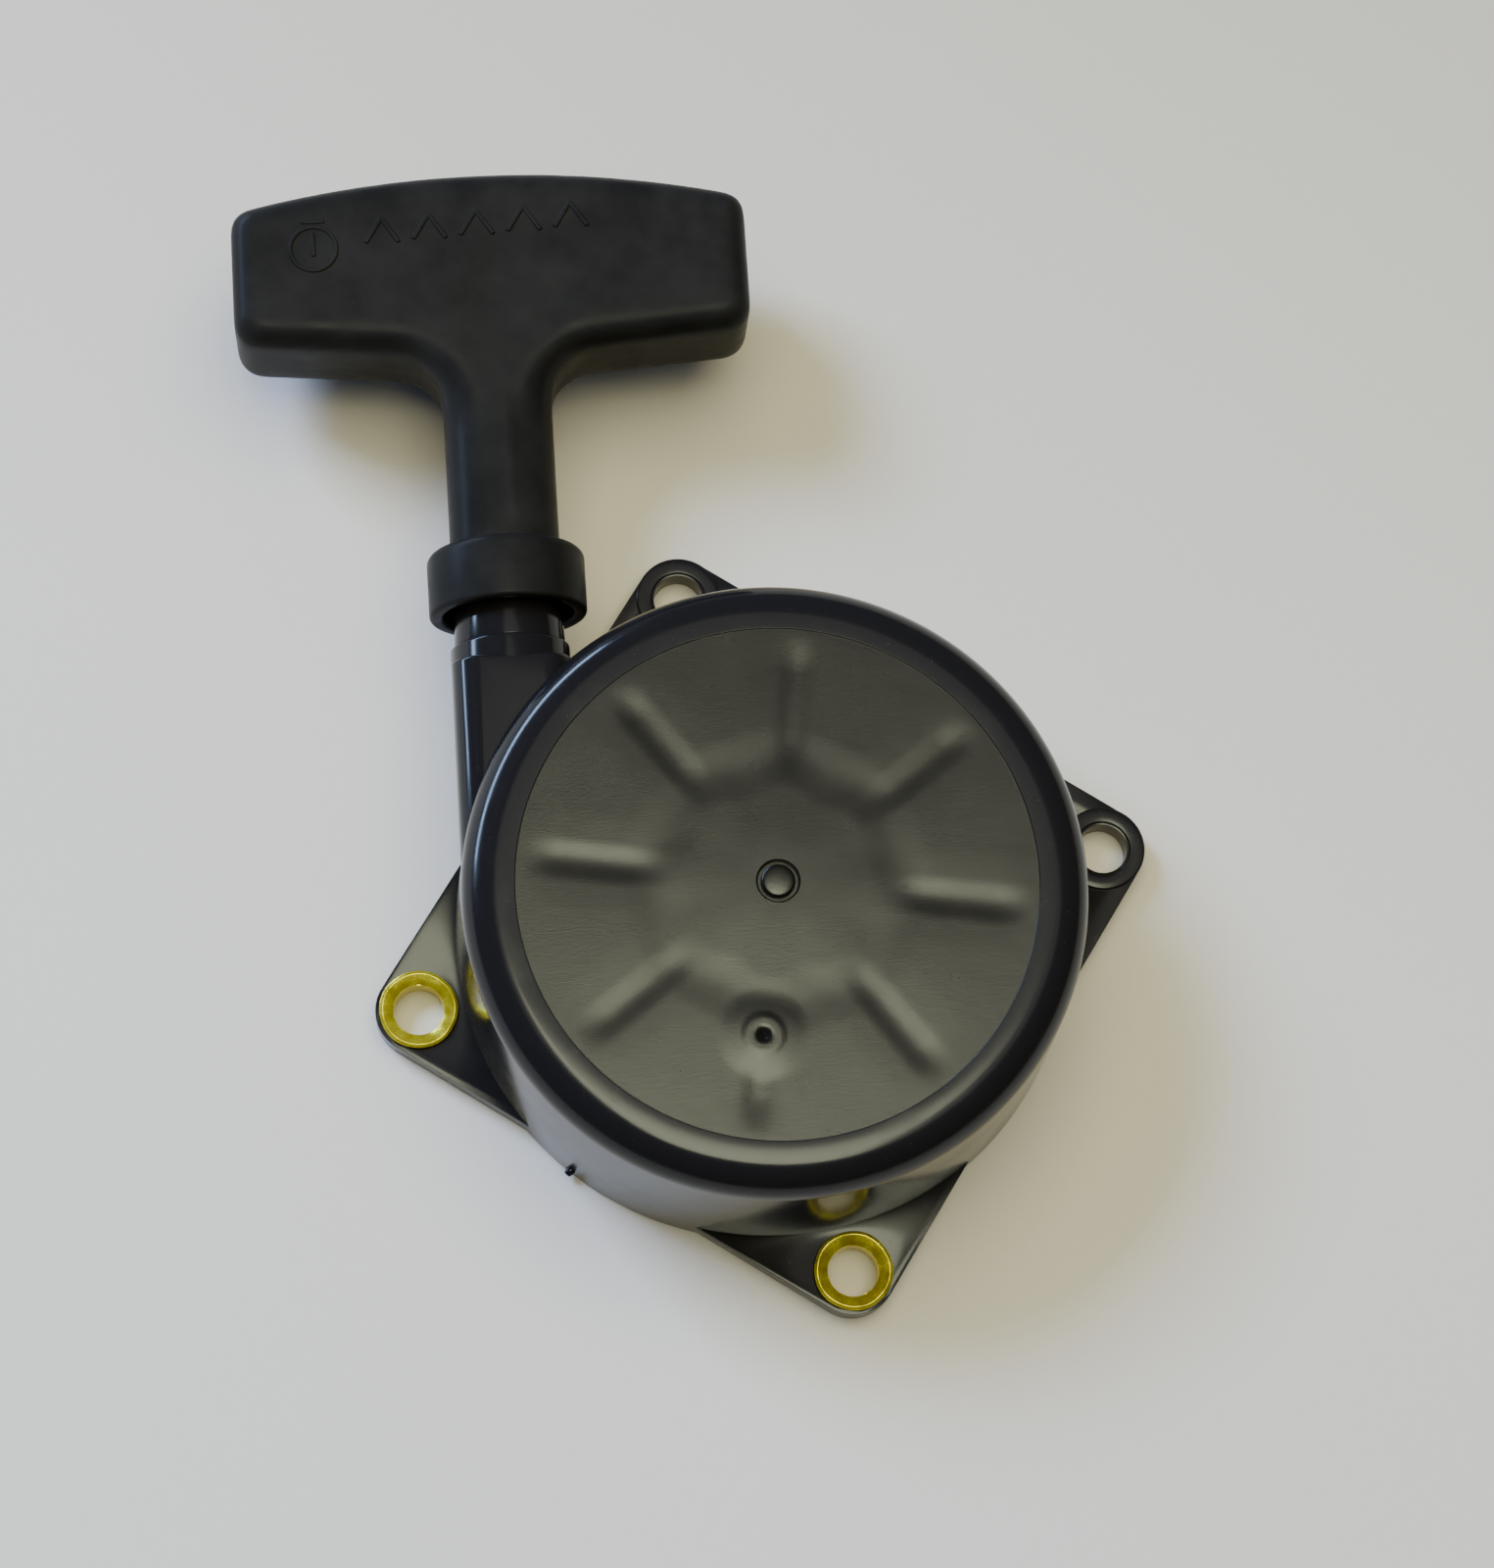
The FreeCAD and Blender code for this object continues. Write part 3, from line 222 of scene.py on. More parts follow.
def braided_rope():
    """Off-white nylon braid: two families of slanting strands that follow the rope's own map."""
    made = Finish("braided_rope", **{"IOR": 1.5, "Sheen Weight": 0.25, "Roughness": 0.8})
    apart = made.node("SeparateXYZ", {}, {0: made.node("UVMap")})
    along, about = Wire(made, apart.socket.node.outputs[0]), Wire(made, apart.socket.node.outputs[1])
    strands = [made.node("Math", {"operation": "SINE"}, {0: (along + about * side) * math.tau})
               for side in (1.0, -1.0)]
    braid = made.node("Math", {"operation": "MAXIMUM"}, {0: strands[0], 1: strands[1]})
    dirt = made.noise(5, 4, 0.6)
    # Painted shade: the base is much darker where the braid is low, in the grooves between the strands. The
    # dirt noise then clouds it.
    made.feed(base=made.ramp(made.between(braid, -0.8, 1.0) * (dirt * 0.5 + 0.6),
                             (0.1, (0.16, 0.15, 0.13, 1)), (0.75, (0.62, 0.60, 0.54, 1))),
              normal=made.bumps((braid, 0.25, 0.8), (made.noise(0.25, 2), 0.05, 0.5)))
    return made.material


CASE, FIELD, HANDLE, NYLON = polished_case(), matt_field(), satin_handle(), moulded_nylon()
BRASS = metal("yellow_brass", (0.55, 0.44, 0.015), (0.98, 0.88, 0.05), (0.14, 0.32), 2.0, 0.4, 0.8,
              metallic=0.7)
BRONZE = metal("sintered_bronze", (0.34, 0.21, 0.09), (0.58, 0.38, 0.17), (0.30, 0.5))
STEEL = metal("ground_steel", (0.33, 0.33, 0.34), (0.50, 0.50, 0.51), (0.22, 0.42))
ZINC = metal("zinc_plate", (0.52, 0.52, 0.50), (0.72, 0.71, 0.67), (0.22, 0.4))
BLUED = metal("blued_spring", (0.10, 0.11, 0.14), (0.28, 0.29, 0.32), (0.2, 0.4))
ROPE = braided_rope()


# ---- mesh work ---------------------------------------------------------------------------------

def eased(corners, steps=8):
    """Places along a closed profile of (across, up, rounding) corners, with an arc at each rounded one."""
    places = []
    for index, (x, y, rounding) in enumerate(corners):
        here = Vector((x, y))
        if not rounding:
            places.append(here)
            continue
        before = (Vector(corners[index - 1][:2]) - here).normalized()
        after = (Vector(corners[(index + 1) % len(corners)][:2]) - here).normalized()
        half = before.angle(after) / 2
        centre = here + (before + after).normalized() * rounding / math.sin(half)
        first = here + before * rounding / math.tan(half) - centre
        last = here + after * rounding / math.tan(half) - centre
        start = math.atan2(first.y, first.x)
        turn = (math.atan2(last.y, last.x) - start + math.pi) % math.tau - math.pi
        for step in range(steps + 1):
            angle = start + turn * step / steps
            places.append(centre + Vector((math.cos(angle), math.sin(angle))) * rounding)
    return places


def turned(bm, profile, steps=192):
    """Spins a closed profile of (radius, height) about the Z axis into a solid ring."""
    verts = [bm.verts.new((x * MM, 0, y * MM)) for x, y in profile]
    pairs = zip(verts, verts[1:] + verts[:1])
    edges = [bm.edges.new(pair) for pair in pairs]
    bmesh.ops.spin(bm, geom=verts + edges, cent=(0, 0, 0), axis=(0, 0, 1), dvec=(0, 0, 0), angle=math.tau,
                   steps=steps, use_merge=True)


def lay_along_pull(bm, verts=None):
    """Turns what was made about Z to lie about the rope tube's axis, with height along +Y."""
    verts = list(verts or bm.verts)
    bmesh.ops.rotate(bm, verts=verts, cent=(0, 0, 0), matrix=Matrix.Rotation(-math.pi / 2, 3, "X"))
    bmesh.ops.translate(bm, verts=verts, vec=TUBE * MM)


def tidy(bm):
    bmesh.ops.remove_doubles(bm, verts=bm.verts, dist=1e-7)
    bmesh.ops.recalc_face_normals(bm, faces=bm.faces)


def finished(name, bm, body, finishes, nodes=(), sharp=math.radians(32)):
    """The piece from a bmesh: smooth shaded but for its sharp edges, with its finishes, on its body."""
    tidy(bm)
    for face in bm.faces:
        face.smooth = True
    for edge in bm.edges:
        edge.smooth = len(edge.link_faces) == 2 and edge.calc_face_angle(0) < sharp
    mesh = bpy.data.meshes.new(name)
    bm.to_mesh(mesh)
    bm.free()
    piece = bpy.data.objects.new(name, mesh)
    bpy.context.collection.objects.link(piece)
    for finish in finishes:
        mesh.materials.append(finish)
    if body:
        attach(piece, body)
    if nodes:
        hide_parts(*nodes)
    return piece


def baked(piece, *modifiers):
    """Applies modifiers, given as (kind, settings), to a piece that stays in place."""
    for kind, settings in modifiers:
        modifier = piece.modifiers.new(kind.lower(), kind)
        for key, value in settings.items():
            setattr(modifier, key, value)
    evaluated = piece.evaluated_get(bpy.context.evaluated_depsgraph_get())
    mesh = bpy.data.meshes.new_from_object(evaluated)
    piece.modifiers.clear()
    old, piece.data = piece.data, mesh
    bpy.data.meshes.remove(old)
    return piece


def loose(bm, name="loose"):
    """A passing object, to cut or join with and then drop."""
    tidy(bm)
    mesh = bpy.data.meshes.new(name)
    bm.to_mesh(mesh)
    bm.free()
    thing = bpy.data.objects.new(name, mesh)
    bpy.context.collection.objects.link(thing)
    bpy.context.view_layer.update()
    return thing


def carved(thing, *tools):
    """The passing object with the tools cut out of it; the tools are dropped."""
    baked(thing, *(("BOOLEAN", {"object": tool, "operation": "DIFFERENCE", "solver": "EXACT"})
                   for tool in tools))
    for tool in tools:
        bpy.data.objects.remove(tool)
    return thing


def taken(thing):
    """The bmesh of a passing object, which is dropped."""
    bm = bmesh.new()
    bm.from_mesh(thing.data)
    bpy.data.objects.remove(thing)
    return bm


def joined(*parts):
    """One bmesh of several."""
    whole = bmesh.new()
    for part in parts:
        mesh = bpy.data.meshes.new("part")
        part.to_mesh(mesh)
        part.free()
        whole.from_mesh(mesh)
        bpy.data.meshes.remove(mesh)
    return whole


def post(radius, low, high, x=0.0, y=0.0, segments=64):
    """A plain round tool."""
    bm = bmesh.new()
    made = bmesh.ops.create_cone(bm, cap_ends=True, segments=segments, radius1=radius * MM,
                                 radius2=radius * MM, depth=(high - low) * MM)
    bmesh.ops.translate(bm, verts=made["verts"], vec=Vector((x, y, (low + high) / 2)) * MM)
    return bm


def around_axis(radius, degrees):
    angle = math.radians(degrees)
    return radius * math.cos(angle), radius * math.sin(angle)


def smoothstep(value, low, high):
    share = min(max((value - low) / (high - low), 0.0), 1.0)
    return share * share * (3 - 2 * share)


# ---- casing ------------------------------------------------------------------------------------

def cover_relief(x, y):
    """How far the cover's field stands up at a spot, in mm: a low domed hub in a waved valley, eight
    creases that run out of the valley between pillowed panels, and the moulding gate's swelling with
    its disc and pit."""
    radius, angle = math.hypot(x, y), math.atan2(y, x) - CREASE_TURN
    valley = VALLEY_RADIUS + 0.8 * math.cos(8 * angle)
    dome = 0.15 * (1 - smoothstep(radius, 3.0, valley))
    dip = 0.09 * smoothstep(radius, valley - 5.0, valley) * (1 - smoothstep(radius, valley, valley + 5.0))
    nearest = (angle + math.pi / 8) % (math.pi / 4) - math.pi / 8
    across = abs(radius * math.sin(nearest))
    crease = 0.15 * (1 - smoothstep(across, 0.0, 3.0)) + 0.06 * (1 - smoothstep(across, 0.0, 7.0))
    crease *= smoothstep(radius, valley - 5.0, valley + 2.0) * (1 - smoothstep(radius, 29.0, 34.9))
    gate = math.hypot(x - GATE.x, y - GATE.y)
    swelling = 0.15 * (1 - smoothstep(gate, 2.7, 6.5)) + 0.10 * (1 - smoothstep(gate, 2.5, 3.0))
    pit = 0.7 * max(0.0, 1 - gate / 1.0)
    return (dome - math.hypot(dip, crease)) * smoothstep(gate, 2.0, 7.0) + swelling - pit


def drum():
    """The drum with its shoulder and cover outside and its cavity inside, as one closed turning."""
    field = [(3.0 + (FIELD_RADIUS - 3.3) * step / 74, DRUM_TOP - FIELD_DROP) for step in range(75)]
    outside = eased([
        (FIELD_RADIUS - 0.2, DRUM_TOP - FIELD_DROP, 0),
        (FIELD_RADIUS, DRUM_TOP - FIELD_DROP, 0.05),
        (FIELD_RADIUS, DRUM_TOP, 0.1),
        (36.2, DRUM_TOP, 0),
        (DRUM_RADIUS, DRUM_TOP, SHOULDER),
        (DRUM_RADIUS + DRUM_FLARE, 0.02, 0.3),
        (CAVITY_RADIUS + DRUM_FLARE, 0.02, 0.5),
        (CAVITY_RADIUS, CEILING, 1.5),
        (7.5, CEILING, 0.4),
        (7.5, CEILING - 1.0, 0.3),
        (4.0, CEILING - 1.0, 0),
        (4.0, 32.0, 0),
        (2.75, 32.0, 0),
        (2.75, DRUM_TOP - FIELD_DROP - 0.1, 0),
    ], 12)
    bm = bmesh.new()
    turned(bm, [(2.85, DRUM_TOP - FIELD_DROP - 0.02), *field, *(tuple(spot) for spot in outside)], 320)
    tidy(bm)
    for vert in bm.verts:
        if vert.co.z > (DRUM_TOP - FIELD_DROP - 0.01) * MM and vert.co.xy.length < (FIELD_RADIUS - 0.1) * MM:
            vert.co.z += cover_relief(vert.co.x / MM, vert.co.y / MM) * MM
    for face in bm.faces:
        middle = face.calc_center_median()
        flat = middle.z > (DRUM_TOP - FIELD_DROP - 0.6) * MM
        face.material_index = 1 if flat and middle.xy.length < (FIELD_RADIUS - 0.05) * MM else 0
    return bm


def flange():
    """Rounded square plate with its bolt holes and the drum's opening."""
    bm = bmesh.new()
    made = bmesh.ops.create_circle(bm, cap_ends=True, segments=4, radius=FLANGE_HALF * math.sqrt(2) * MM)
    bmesh.ops.rotate(bm, verts=made["verts"], cent=(0, 0, 0),
                     matrix=Matrix.Rotation(math.radians(BOLT_TURN), 3, "Z"))
    bmesh.ops.bevel(bm, geom=made["verts"], offset=FLANGE_CORNER * MM, segments=16, profile=0.5,
                    affect="VERTICES", material=-1, offset_type="OFFSET")
    plate = bmesh.ops.extrude_face_region(bm, geom=list(bm.faces))
    bmesh.ops.translate(bm, verts=[v for v in plate["geom"] if isinstance(v, bmesh.types.BMVert)],
                        vec=(0, 0, FLANGE_THICK * MM))
    thing = loose(bm)
    tools = [post(DRUM_RADIUS + DRUM_FLARE - 0.7, -1, 9, segments=256)]
    for corner in range(4):
        radius = SLEEVE_RADIUS if corner in SLEEVE_CORNERS else BOLT_HOLE_RADIUS
        tools.append(post(radius, -1, 9, *around_axis(BOLT_CIRCLE, BOLT_TURN + 90 * corner)))
    carved(thing, *(loose(tool) for tool in tools))
    baked(thing, ("BEVEL", {"width": 0.45 * MM, "segments": 3, "limit_method": "ANGLE", "angle_limit": 0.7}))
    bm = taken(thing)
    for corner in PLAIN_CORNERS:
        land = bmesh.new()
        turned(land, eased([(3.75, 3.5, 0), (6.0, 3.5, 0), (6.0, 4.35, 0.3), (3.75, 4.35, 0.25)], 4), 64)
        x, y = around_axis(BOLT_CIRCLE, BOLT_TURN + 90 * corner)
        bmesh.ops.translate(land, verts=list(land.verts), vec=(x * MM, y * MM, 0))
        bm = joined(bm, land)
    return bm


def rope_housing():
    """Square housing beside the drum, its foot web and the round mouth that takes the rope guide."""
    bm = bmesh.new()
    made = bmesh.ops.create_cube(bm, size=1)
    bmesh.ops.scale(bm, verts=made["verts"], vec=Vector((2 * TUBE_RADIUS, 35.0, 2 * TUBE_RADIUS)) * MM)
    bmesh.ops.translate(bm, verts=made["verts"], vec=(TUBE + Vector((0, 17.5, 0))) * MM)
    long_edges = [e for e in bm.edges if abs((e.verts[0].co - e.verts[1].co).y) > 0.02]
    bmesh.ops.bevel(bm, geom=long_edges, offset=4.0 * MM, segments=10, profile=0.5, affect="EDGES",
                    material=-1)
    rim = [e for e in bm.edges if min(v.co.y for v in e.verts) > 34.9 * MM]
    bmesh.ops.bevel(bm, geom=rim, offset=0.5 * MM, segments=4, profile=0.5, affect="EDGES", material=-1)
    web = bmesh.new()
    made = bmesh.ops.create_cube(web, size=1)
    bmesh.ops.scale(web, verts=made["verts"], vec=Vector((3.0, 14.0, 12.0)) * MM)
    bmesh.ops.translate(web, verts=made["verts"], vec=Vector((TUBE.x, 22.0, 6.05)) * MM)
    thing = loose(bm)
    carved(thing, loose(post(CAVITY_RADIUS + 1.0, 0, 40, segments=192)))
    foot = loose(web)
    carved(foot, loose(post(CAVITY_RADIUS + 1.2, -1, 40, segments=192)))
    mouth = bmesh.new()
    turned(mouth, eased([(4.2, 30.5, 0), (TUBE_RADIUS, 30.5, 0), (TUBE_RADIUS, 38.0, 0.45), (5.5, 38.0, 0.2),
                         (5.5, 31.5, 0)], 5), 128)
    lay_along_pull(mouth)
    return joined(taken(thing), taken(foot), mouth)


def edge_nib():
    """The small gate witness low on the drum."""
    bm = bmesh.new()
    bmesh.ops.create_cone(bm, cap_ends=True, segments=12, radius1=0.75 * MM, radius2=0.45 * MM,
                          depth=0.9 * MM)
    bmesh.ops.bevel(bm, geom=[e for e in bm.edges if e.calc_face_angle(0) > 1], offset=0.12 * MM, segments=2,
                    profile=0.5, affect="EDGES", material=-1)
    bmesh.ops.rotate(bm, verts=list(bm.verts), cent=(0, 0, 0),
                     matrix=Matrix.Rotation(NIB_TURN, 3, "Z") @ Matrix.Rotation(math.pi / 2, 3, "Y"))
    spot = Vector((math.cos(NIB_TURN), math.sin(NIB_TURN), 0)) * (DRUM_RADIUS + DRUM_FLARE + 0.3)
    bmesh.ops.translate(bm, verts=list(bm.verts), vec=(spot + Vector((0, 0, 1.6))) * MM)
    return bm


def make_casing():
    shell = joined(drum(), flange(), rope_housing(), edge_nib())
    finished("casing_shell", shell, "casing", [CASE, FIELD], ["starter_case"])


def make_stud():
    """The steel stud with its tapped foot; its blackened end shows in the cover."""
    bm = bmesh.new()
    turned(bm, eased([(2.0, 5.2, 0.3), (4.0, 5.2, 0.4), (4.0, 32.0, 0), (2.3, 32.0, 0), (2.3, 33.2, 0.45),
                      (1.4, 33.3, 0), (0.7, 33.34, 0), (0, 33.35, 0), (0, 17.2, 0), (2.0, 15.2, 0)], 5), 64)
    for face in bm.faces:
        face.material_index = 1 if face.calc_center_median().z > 31.9 * MM else 0
    finished("pivot_stud_turned", bm, "casing", [STEEL, FIELD], ["pivot_stud"])


def make_collars():
    """Turned brass sleeves, flared over the flange."""
    parts = []
    for corner, phase in zip(SLEEVE_CORNERS, (0.7, 2.1)):
        bm = bmesh.new()
        turned(bm, eased([(BOLT_HOLE_RADIUS, 0.02, 0.2), (SLEEVE_RADIUS, 0.02, 0.1), (SLEEVE_RADIUS, 4.2, 0),
                          (5.5, 4.55, 0.18), (5.0, 4.78, 0.15), (4.2, 4.45, 0.3),
                          (BOLT_HOLE_RADIUS, 4.1, 0.3)], 4), 96)
        for vert in bm.verts:
            angle = math.atan2(vert.co.y, vert.co.x)
            if vert.co.z > 4.0 * MM:
                vert.co.z += (0.05 * math.sin(3 * angle + phase) + 0.03 * math.sin(7 * angle)) * MM
                vert.co.xy *= 1 + 0.006 * math.sin(5 * angle + phase)
        x, y = around_axis(BOLT_CIRCLE, BOLT_TURN + 90 * corner)
        bmesh.ops.translate(bm, verts=list(bm.verts), vec=(x * MM, y * MM, 0))
        parts.append(bm)
    finished("brass_collars", joined(*parts), "casing", [BRASS], ["mounting_collars"])


def make_rope_guide():
    bm = bmesh.new()
    turned(bm, eased([(2.6, 30.2, 0.3), (5.45, 30.2, 0), (5.45, 38.0, 0), (7.7, 38.0, 0.15), (7.3, 46.5, 1.2),
                      (2.6, 46.5, 1.2)], 6), 128)
    lay_along_pull(bm)
    finished("guide_nose", bm, "casing", [CASE], ["rope_guide"])


# ---- handle ------------------------------------------------------------------------------------

GRIP_HALF = 36.1
GRIP_LOW, GRIP_RISE, GRIP_SIDE, GRIP_CROWN = 79.6, 2.0, 101.3, 4.5
STEM_HALF = 7.6
SKIN_CELL, SKIN_SMOOTHING = 0.42, 24    # the grip's remeshed cells and its rounds of smoothing


def grip_outline():
    """The grip and stem from the front, anticlockwise from the stem's lower left, evenly dense."""
    crown = (GRIP_HALF ** 2 + GRIP_CROWN ** 2) / (2 * GRIP_CROWN)
    top = []
    for step in range(1, 24):
        x = GRIP_HALF * (1 - 2 * step / 24)
        top.append((x, GRIP_SIDE + GRIP_CROWN - crown + math.sqrt(crown ** 2 - x ** 2), 0))
    right = [(STEM_HALF, 38.0, 0), (STEM_HALF, GRIP_LOW - 0.4, 7.2), (GRIP_HALF, GRIP_LOW + GRIP_RISE, 3.6),
             (GRIP_HALF, GRIP_SIDE, 3.0)]
    left = [(-x, y, rounding) for x, y, rounding in reversed(right)]
    outline = eased(right + top + left, 12)
    dense = []
    for first, last in zip(outline, outline[1:] + outline[:1]):
        count = max(1, round((last - first).length / 1.2))
        dense.extend(first.lerp(last, step / count) for step in range(count))
    return dense


def make_grip():
    """The grip's skin rises from its parting line in layers that draw in, rounder on the stem. It is
    remeshed and smoothed, then gets its rope pocket, skirt and marks."""
    outline = grip_outline()
    count = len(outline)
    inward = []
    for index in range(count):
        way = (outline[(index + 1) % count] - outline[index - 1]).normalized()
        inward.append(Vector((-way.y, way.x)))
    layers = []
    for step in range(13):
        turn = math.pi / 2 * step / 12
        layers.append((1 - math.cos(turn), math.sin(turn)))
    bm = bmesh.new()
    rings = []
    for side in (-1, 1):
        for draw, lift in (layers[::-1] if side < 0 else layers):
            ring = []
            for spot, way in zip(outline, inward):
                on_grip = smoothstep(spot.y, 68.0, 82.5)
                round_by = 5.8 + (2.5 - 5.8) * on_grip
                half_thick = 7.6 + (8.8 - 7.6) * on_grip
                flat = half_thick - round_by
                draft = 0.45 * on_grip
                place = spot + way * (draw * round_by + (draft if lift else 0) * min(1, lift * 3))
                ring.append(bm.verts.new((place.x * MM, place.y * MM, side * (flat + lift * round_by) * MM)))
            rings.append(ring)
    for ring, after in zip(rings, rings[1:]):
        for index in range(count):
            bm.faces.new((ring[index - 1], ring[index], after[index], after[index - 1]))
    bm.faces.new(list(reversed(rings[0])))
    bm.faces.new(rings[-1])
    thing = loose(bm)
    thing.data.transform(Matrix.Translation(TUBE * MM))
    pocket = post(4.7, 94.0, 112.0, segments=48)
    lay_along_pull(pocket)
    baked(thing, ("REMESH", {"mode": "VOXEL", "voxel_size": SKIN_CELL * MM}))
    bm = taken(thing)
    for _ in range(SKIN_SMOOTHING):
        bmesh.ops.smooth_vert(bm, verts=bm.verts, factor=0.5, use_axis_x=True, use_axis_y=True,
                              use_axis_z=True)
    cut = bmesh.ops.bisect_plane(bm, geom=[*bm.verts, *bm.edges, *bm.faces], plane_co=(0, 50.6 * MM, 0),
                                 plane_no=(0, 1, 0), clear_inner=True)
    bmesh.ops.holes_fill(bm, edges=[e for e in cut["geom_cut"] if isinstance(e, bmesh.types.BMEdge)])
    body = carved(loose(bm), loose(pocket))
    skirt = bmesh.new()
    turned(skirt, eased([(2.3, 47.0, 0.4), (9.1, 47.0, 0.5), (9.1, 42.5, 0.5), (10.95, 42.5, 0.6),
                         (10.95, 51.5, 1.3), (6.9, 51.7, 0), (6.0, 52.5, 0), (2.3, 52.5, 0)], 6), 160)
    lay_along_pull(skirt)
    whole = joined(taken(body), skirt, *grip_marks())
    finished("handle_body", whole, "handle", [HANDLE], ["handle_grip"])


def bar(x, y, length, width, turn=0.0):
    """A raised rounded bar on the grip's face, centred at a spot from the stem's axis."""
    bm = bmesh.new()
    bmesh.ops.create_cube(bm, size=1)
    bmesh.ops.scale(bm, verts=list(bm.verts), vec=Vector((length, width, 0.8)) * MM)
    bmesh.ops.bevel(bm, geom=list(bm.edges), offset=0.22 * MM, segments=3, profile=0.5, affect="EDGES",
                    material=-1)
    bmesh.ops.rotate(bm, verts=list(bm.verts), cent=(0, 0, 0), matrix=Matrix.Rotation(turn, 3, "Z"))
    bmesh.ops.translate(bm, verts=list(bm.verts), vec=(TUBE + Vector((x, y, 8.56))) * MM)
    return bm


def grip_marks():
    """Plain raised marks that point the way of the pull: a ring with a stroke, then five chevrons."""
    ring = bmesh.new()
    turned(ring, eased([(2.9, -0.45, 0), (3.5, -0.45, 0), (3.5, 0.42, 0.18), (2.9, 0.42, 0.18)], 3), 64)
    bmesh.ops.translate(ring, verts=list(ring.verts), vec=(TUBE + Vector((-24.6, 94.6, 8.56))) * MM)
    marks = [ring, bar(-24.6, 95.2, 0.7, 3.6), bar(-24.6, 98.6, 3.4, 0.7)]
    for step in range(5):
        x, y = -15.0 + 6.6 * step, 97.0 + 0.35 * step
        marks += [bar(x - 1.15, y, 4.4, 0.7, 1.0), bar(x + 1.15, y, 4.4, 0.7, -1.0)]
    return marks


# ---- rope --------------------------------------------------------------------------------------

def wrap_map(bm, pitch=3.2, strands=6):
    """A map for the braid: along the rope in turns of the braid, and round it in strands."""
    layer = bm.loops.layers.uv.new("braid")
    for face in bm.faces:
        for loop in face.loops:
            spot = loop.vert.co
            about = math.atan2(spot.z - TUBE.z * MM, spot.x - TUBE.x * MM) / math.tau
            if about < 0 and face.calc_center_median().z > TUBE.z * MM:
                about += 1
            loop[layer].uv = (spot.y / MM / pitch * 2, about * strands)


def make_rope():
    bm = bmesh.new()
    turned(bm, [(0, 0.0), (1.75, 0.0)] + [(1.75, 0.5 * step) for step in range(1, 191)] + [(0, 95.0)], 32)
    lay_along_pull(bm)
    tidy(bm)
    wrap_map(bm)
    rope = finished("pull_rope", bm, None, [ROPE], ["rope_run"])
    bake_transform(rope)


def make_handle_knot():
    """An overhand knot in the pocket, made of two fat rings tilted against each other."""
    bm = bmesh.new()
    for tilt, lift in ((0.35, 0.9), (-0.45, 2.4)):
        ring = bmesh.new()
        turned(ring, [(1.45 + 1.45 * math.cos(a), 1.45 * math.sin(a)) for a in
                      (math.tau * k / 16 for k in range(16))], 48)
        bmesh.ops.rotate(ring, verts=list(ring.verts), cent=(0, 0, 0), matrix=Matrix.Rotation(tilt, 3, "X"))
        bmesh.ops.translate(ring, verts=list(ring.verts), vec=(0, 0, (95.4 + lift) * MM))
        bm = joined(bm, ring)
    lay_along_pull(bm)
    tidy(bm)
    wrap_map(bm, 1.6, 4)
    finished("handle_rope_knot", bm, "handle", [ROPE], ["handle_knot"])


# ---- CAD pieces that keep their shape ----------------------------------------------------------

def kept(node, body, finish):
    """A merged, smooth-shaded copy of a CAD node."""
    bm = bmesh.new()
    bm.from_mesh(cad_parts[node].data)
    finished(f"{node}_piece", bm, body, [finish], [node])


def make_inner_pieces():
    for node, finish, slot in (("recoil_spring", BLUED, "spring_steel"),
                               ("spring_cover", ZINC, "zinc_steel"),
                               ("spring_cover_screws", ZINC, "zinc_steel"),
                               ("centre_washer", ZINC, "zinc_steel"), ("centre_screw", ZINC, "zinc_steel")):
        kept(node, "casing", finish)
    for node, finish, slot in (("reel", NYLON, "reel_plastic"), ("reel_bush", BRONZE, "bronze"),
                               ("pawl_pins", STEEL, "steel"), ("pawl_spring_a", BLUED, "spring_steel"),
                               ("pawl_spring_b", BLUED, "spring_steel"),
                               ("friction_spring", BLUED, "spring_steel")):
        kept(node, "reel", finish)
    kept("pawl_guide", "pawl_guide", ZINC)
    kept("pawl_a", "pawl_a", STEEL)
    kept("pawl_b", "pawl_b", STEEL)
    kept("knot_washer", "handle", ZINC)
    for node in ("rope_on_reel", "reel_knot"):
        kept(node, "reel", ROPE)


# ---- stage -------------------------------------------------------------------------------------

def make_stage():
    paper = Finish("paper_floor", **{"Roughness": 0.7, "IOR": 1.3})
    cloud, fibre = paper.noise(60, 3), paper.noise(1.2, 4, 0.6, stretch=(1, 0.4, 1))
    apart = paper.node("SeparateXYZ", {}, {0: paper.spot})
    # Painted light: the floor is paler and cooler towards the lower left and darker and warmer towards the
    # upper right. This is a painted falloff and colour cast of the lamps, laid over the paper's own cloud and
    # fibre.
    light_falloff_slant = Wire(paper, apart.socket.node.outputs[1]) + apart * 0.35
    shade = paper.ramp(paper.between(light_falloff_slant, -0.16, 0.20), (0.0, (0.87, 0.885, 0.93, 1)),
                       (0.5, (0.82, 0.82, 0.81, 1)), (1.0, (0.60, 0.59, 0.53, 1)))
    paper.feed(base=paper.mix(cloud * 0.12 + fibre * 0.16, shade, (0.60, 0.60, 0.57, 1)),
               normal=paper.bumps((fibre, 0.05, 0.3)))
    bm = bmesh.new()
    bmesh.ops.create_grid(bm, x_segments=1, y_segments=1, size=3.0)
    floor = finished("floor", bm, None, [paper.material])


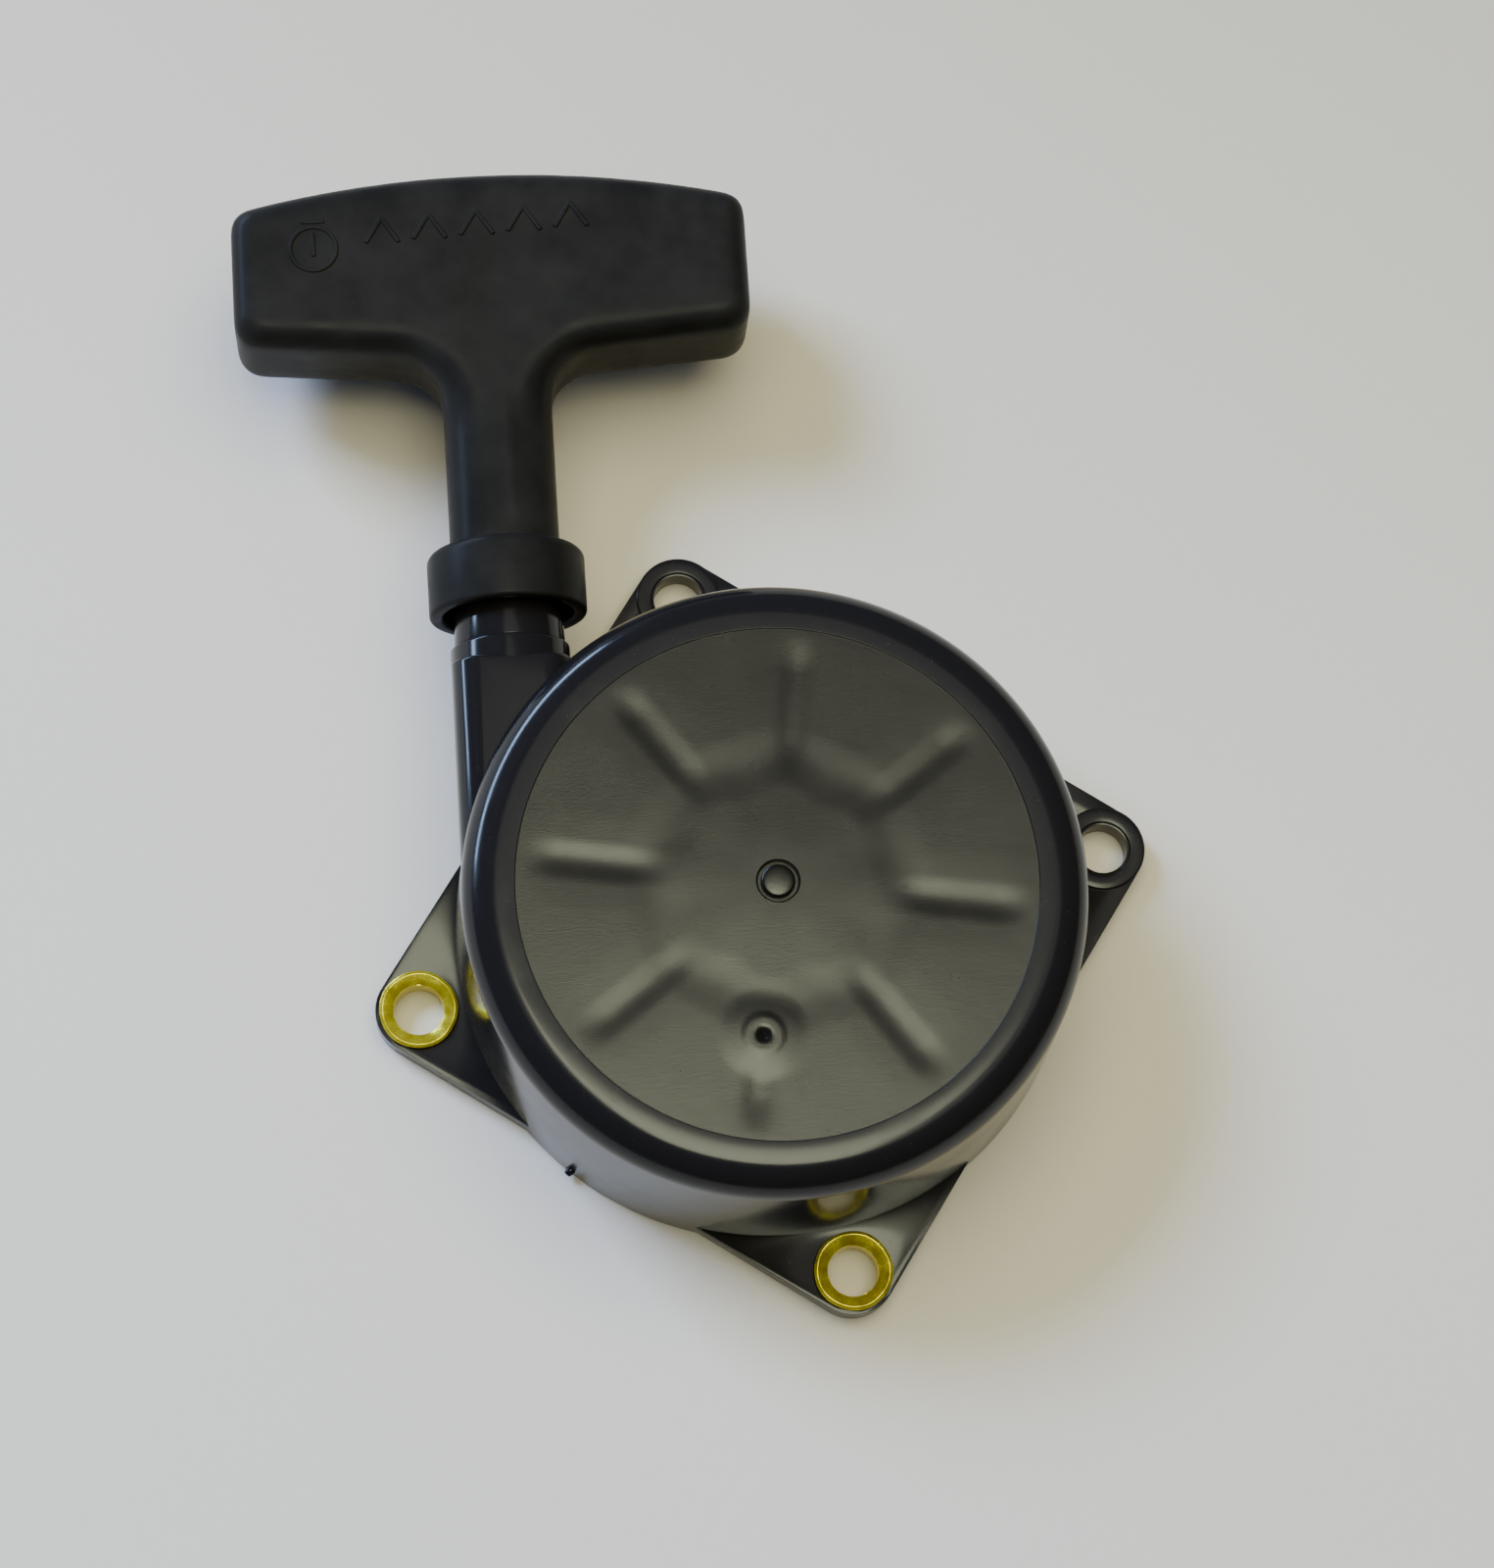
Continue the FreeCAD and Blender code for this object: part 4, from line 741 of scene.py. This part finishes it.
def lamp(name, turn, rise, away, size, radiance, colour, lights=True, mirrored=True):
    """A flat lamp that faces the part from a turn and rise in degrees, away metres off. It lights the
    part, shows in polish, or both."""
    light = bpy.data.lights.new(name, "AREA")
    light.shape, light.size, light.size_y = "RECTANGLE", size[0], size[1]
    light.energy, light.color = radiance * math.pi * size[0] * size[1], colour
    thing = bpy.data.objects.new(name, light)
    bpy.context.collection.objects.link(thing)
    around, up = math.radians(turn), math.radians(rise)
    way = Vector((math.cos(up) * math.cos(around), math.cos(up) * math.sin(around), math.sin(up)))
    thing.location = way * away
    thing.rotation_mode = "QUATERNION"
    thing.rotation_quaternion = (-way).to_track_quat("-Z", "Y")
    thing.visible_diffuse, thing.visible_glossy = lights, mirrored


def make_lights():
    world = bpy.data.worlds.new("room")
    bpy.context.scene.world = world
    world.use_nodes = True
    world.node_tree.nodes["Background"].inputs[0].default_value = (0.75, 0.80, 1.0, 1)
    world.node_tree.nodes["Background"].inputs[1].default_value = 0.08
    lamp("daylight", 137, 43, 1.4, (0.5, 0.5), 32.0, (0.58, 0.69, 1.0), mirrored=False)
    lamp("room_lamp", 60, 80, 1.5, (1.3, 1.3), 4.3, (1.0, 0.90, 0.52), mirrored=False)
    lamp("window", 136, 12, 1.7, (1.5, 0.20), 40.0, (0.45, 0.65, 1.0), lights=False)
    lamp("overhead", -90, 86.8, 1.5, (0.56, 0.60), 12.0, (0.97, 1.0, 0.70), lights=False)
    lamp("ceiling", 60, 85, 1.7, (1.2, 1.1), 0.9, (1.0, 0.98, 0.90), lights=False)


def make_camera():
    camera = bpy.data.cameras.new("camera")
    camera.lens, camera.shift_x, camera.shift_y = 96.95, 0.0038, -0.0017
    thing = bpy.data.objects.new("camera", camera)
    bpy.context.collection.objects.link(thing)
    right = Vector((0.99607543, -0.06460544, 0.06049686))
    up = Vector((0.04722119, 0.96601662, 0.25413))
    back = Vector((-0.07485916, -0.25027591, 0.96527617))
    place = Matrix.Translation(Vector((-46.459, -127.75, 579.336)) * MM)
    thing.matrix_world = place @ Matrix((right, up, back)).transposed().to_4x4()
    bpy.context.scene.camera = thing


make_camera()
make_stage()
make_lights()
make_casing()
make_stud()
make_collars()
make_rope_guide()
make_grip()
make_rope()
make_handle_knot()
make_inner_pieces()

bpy.context.view_layer.update()
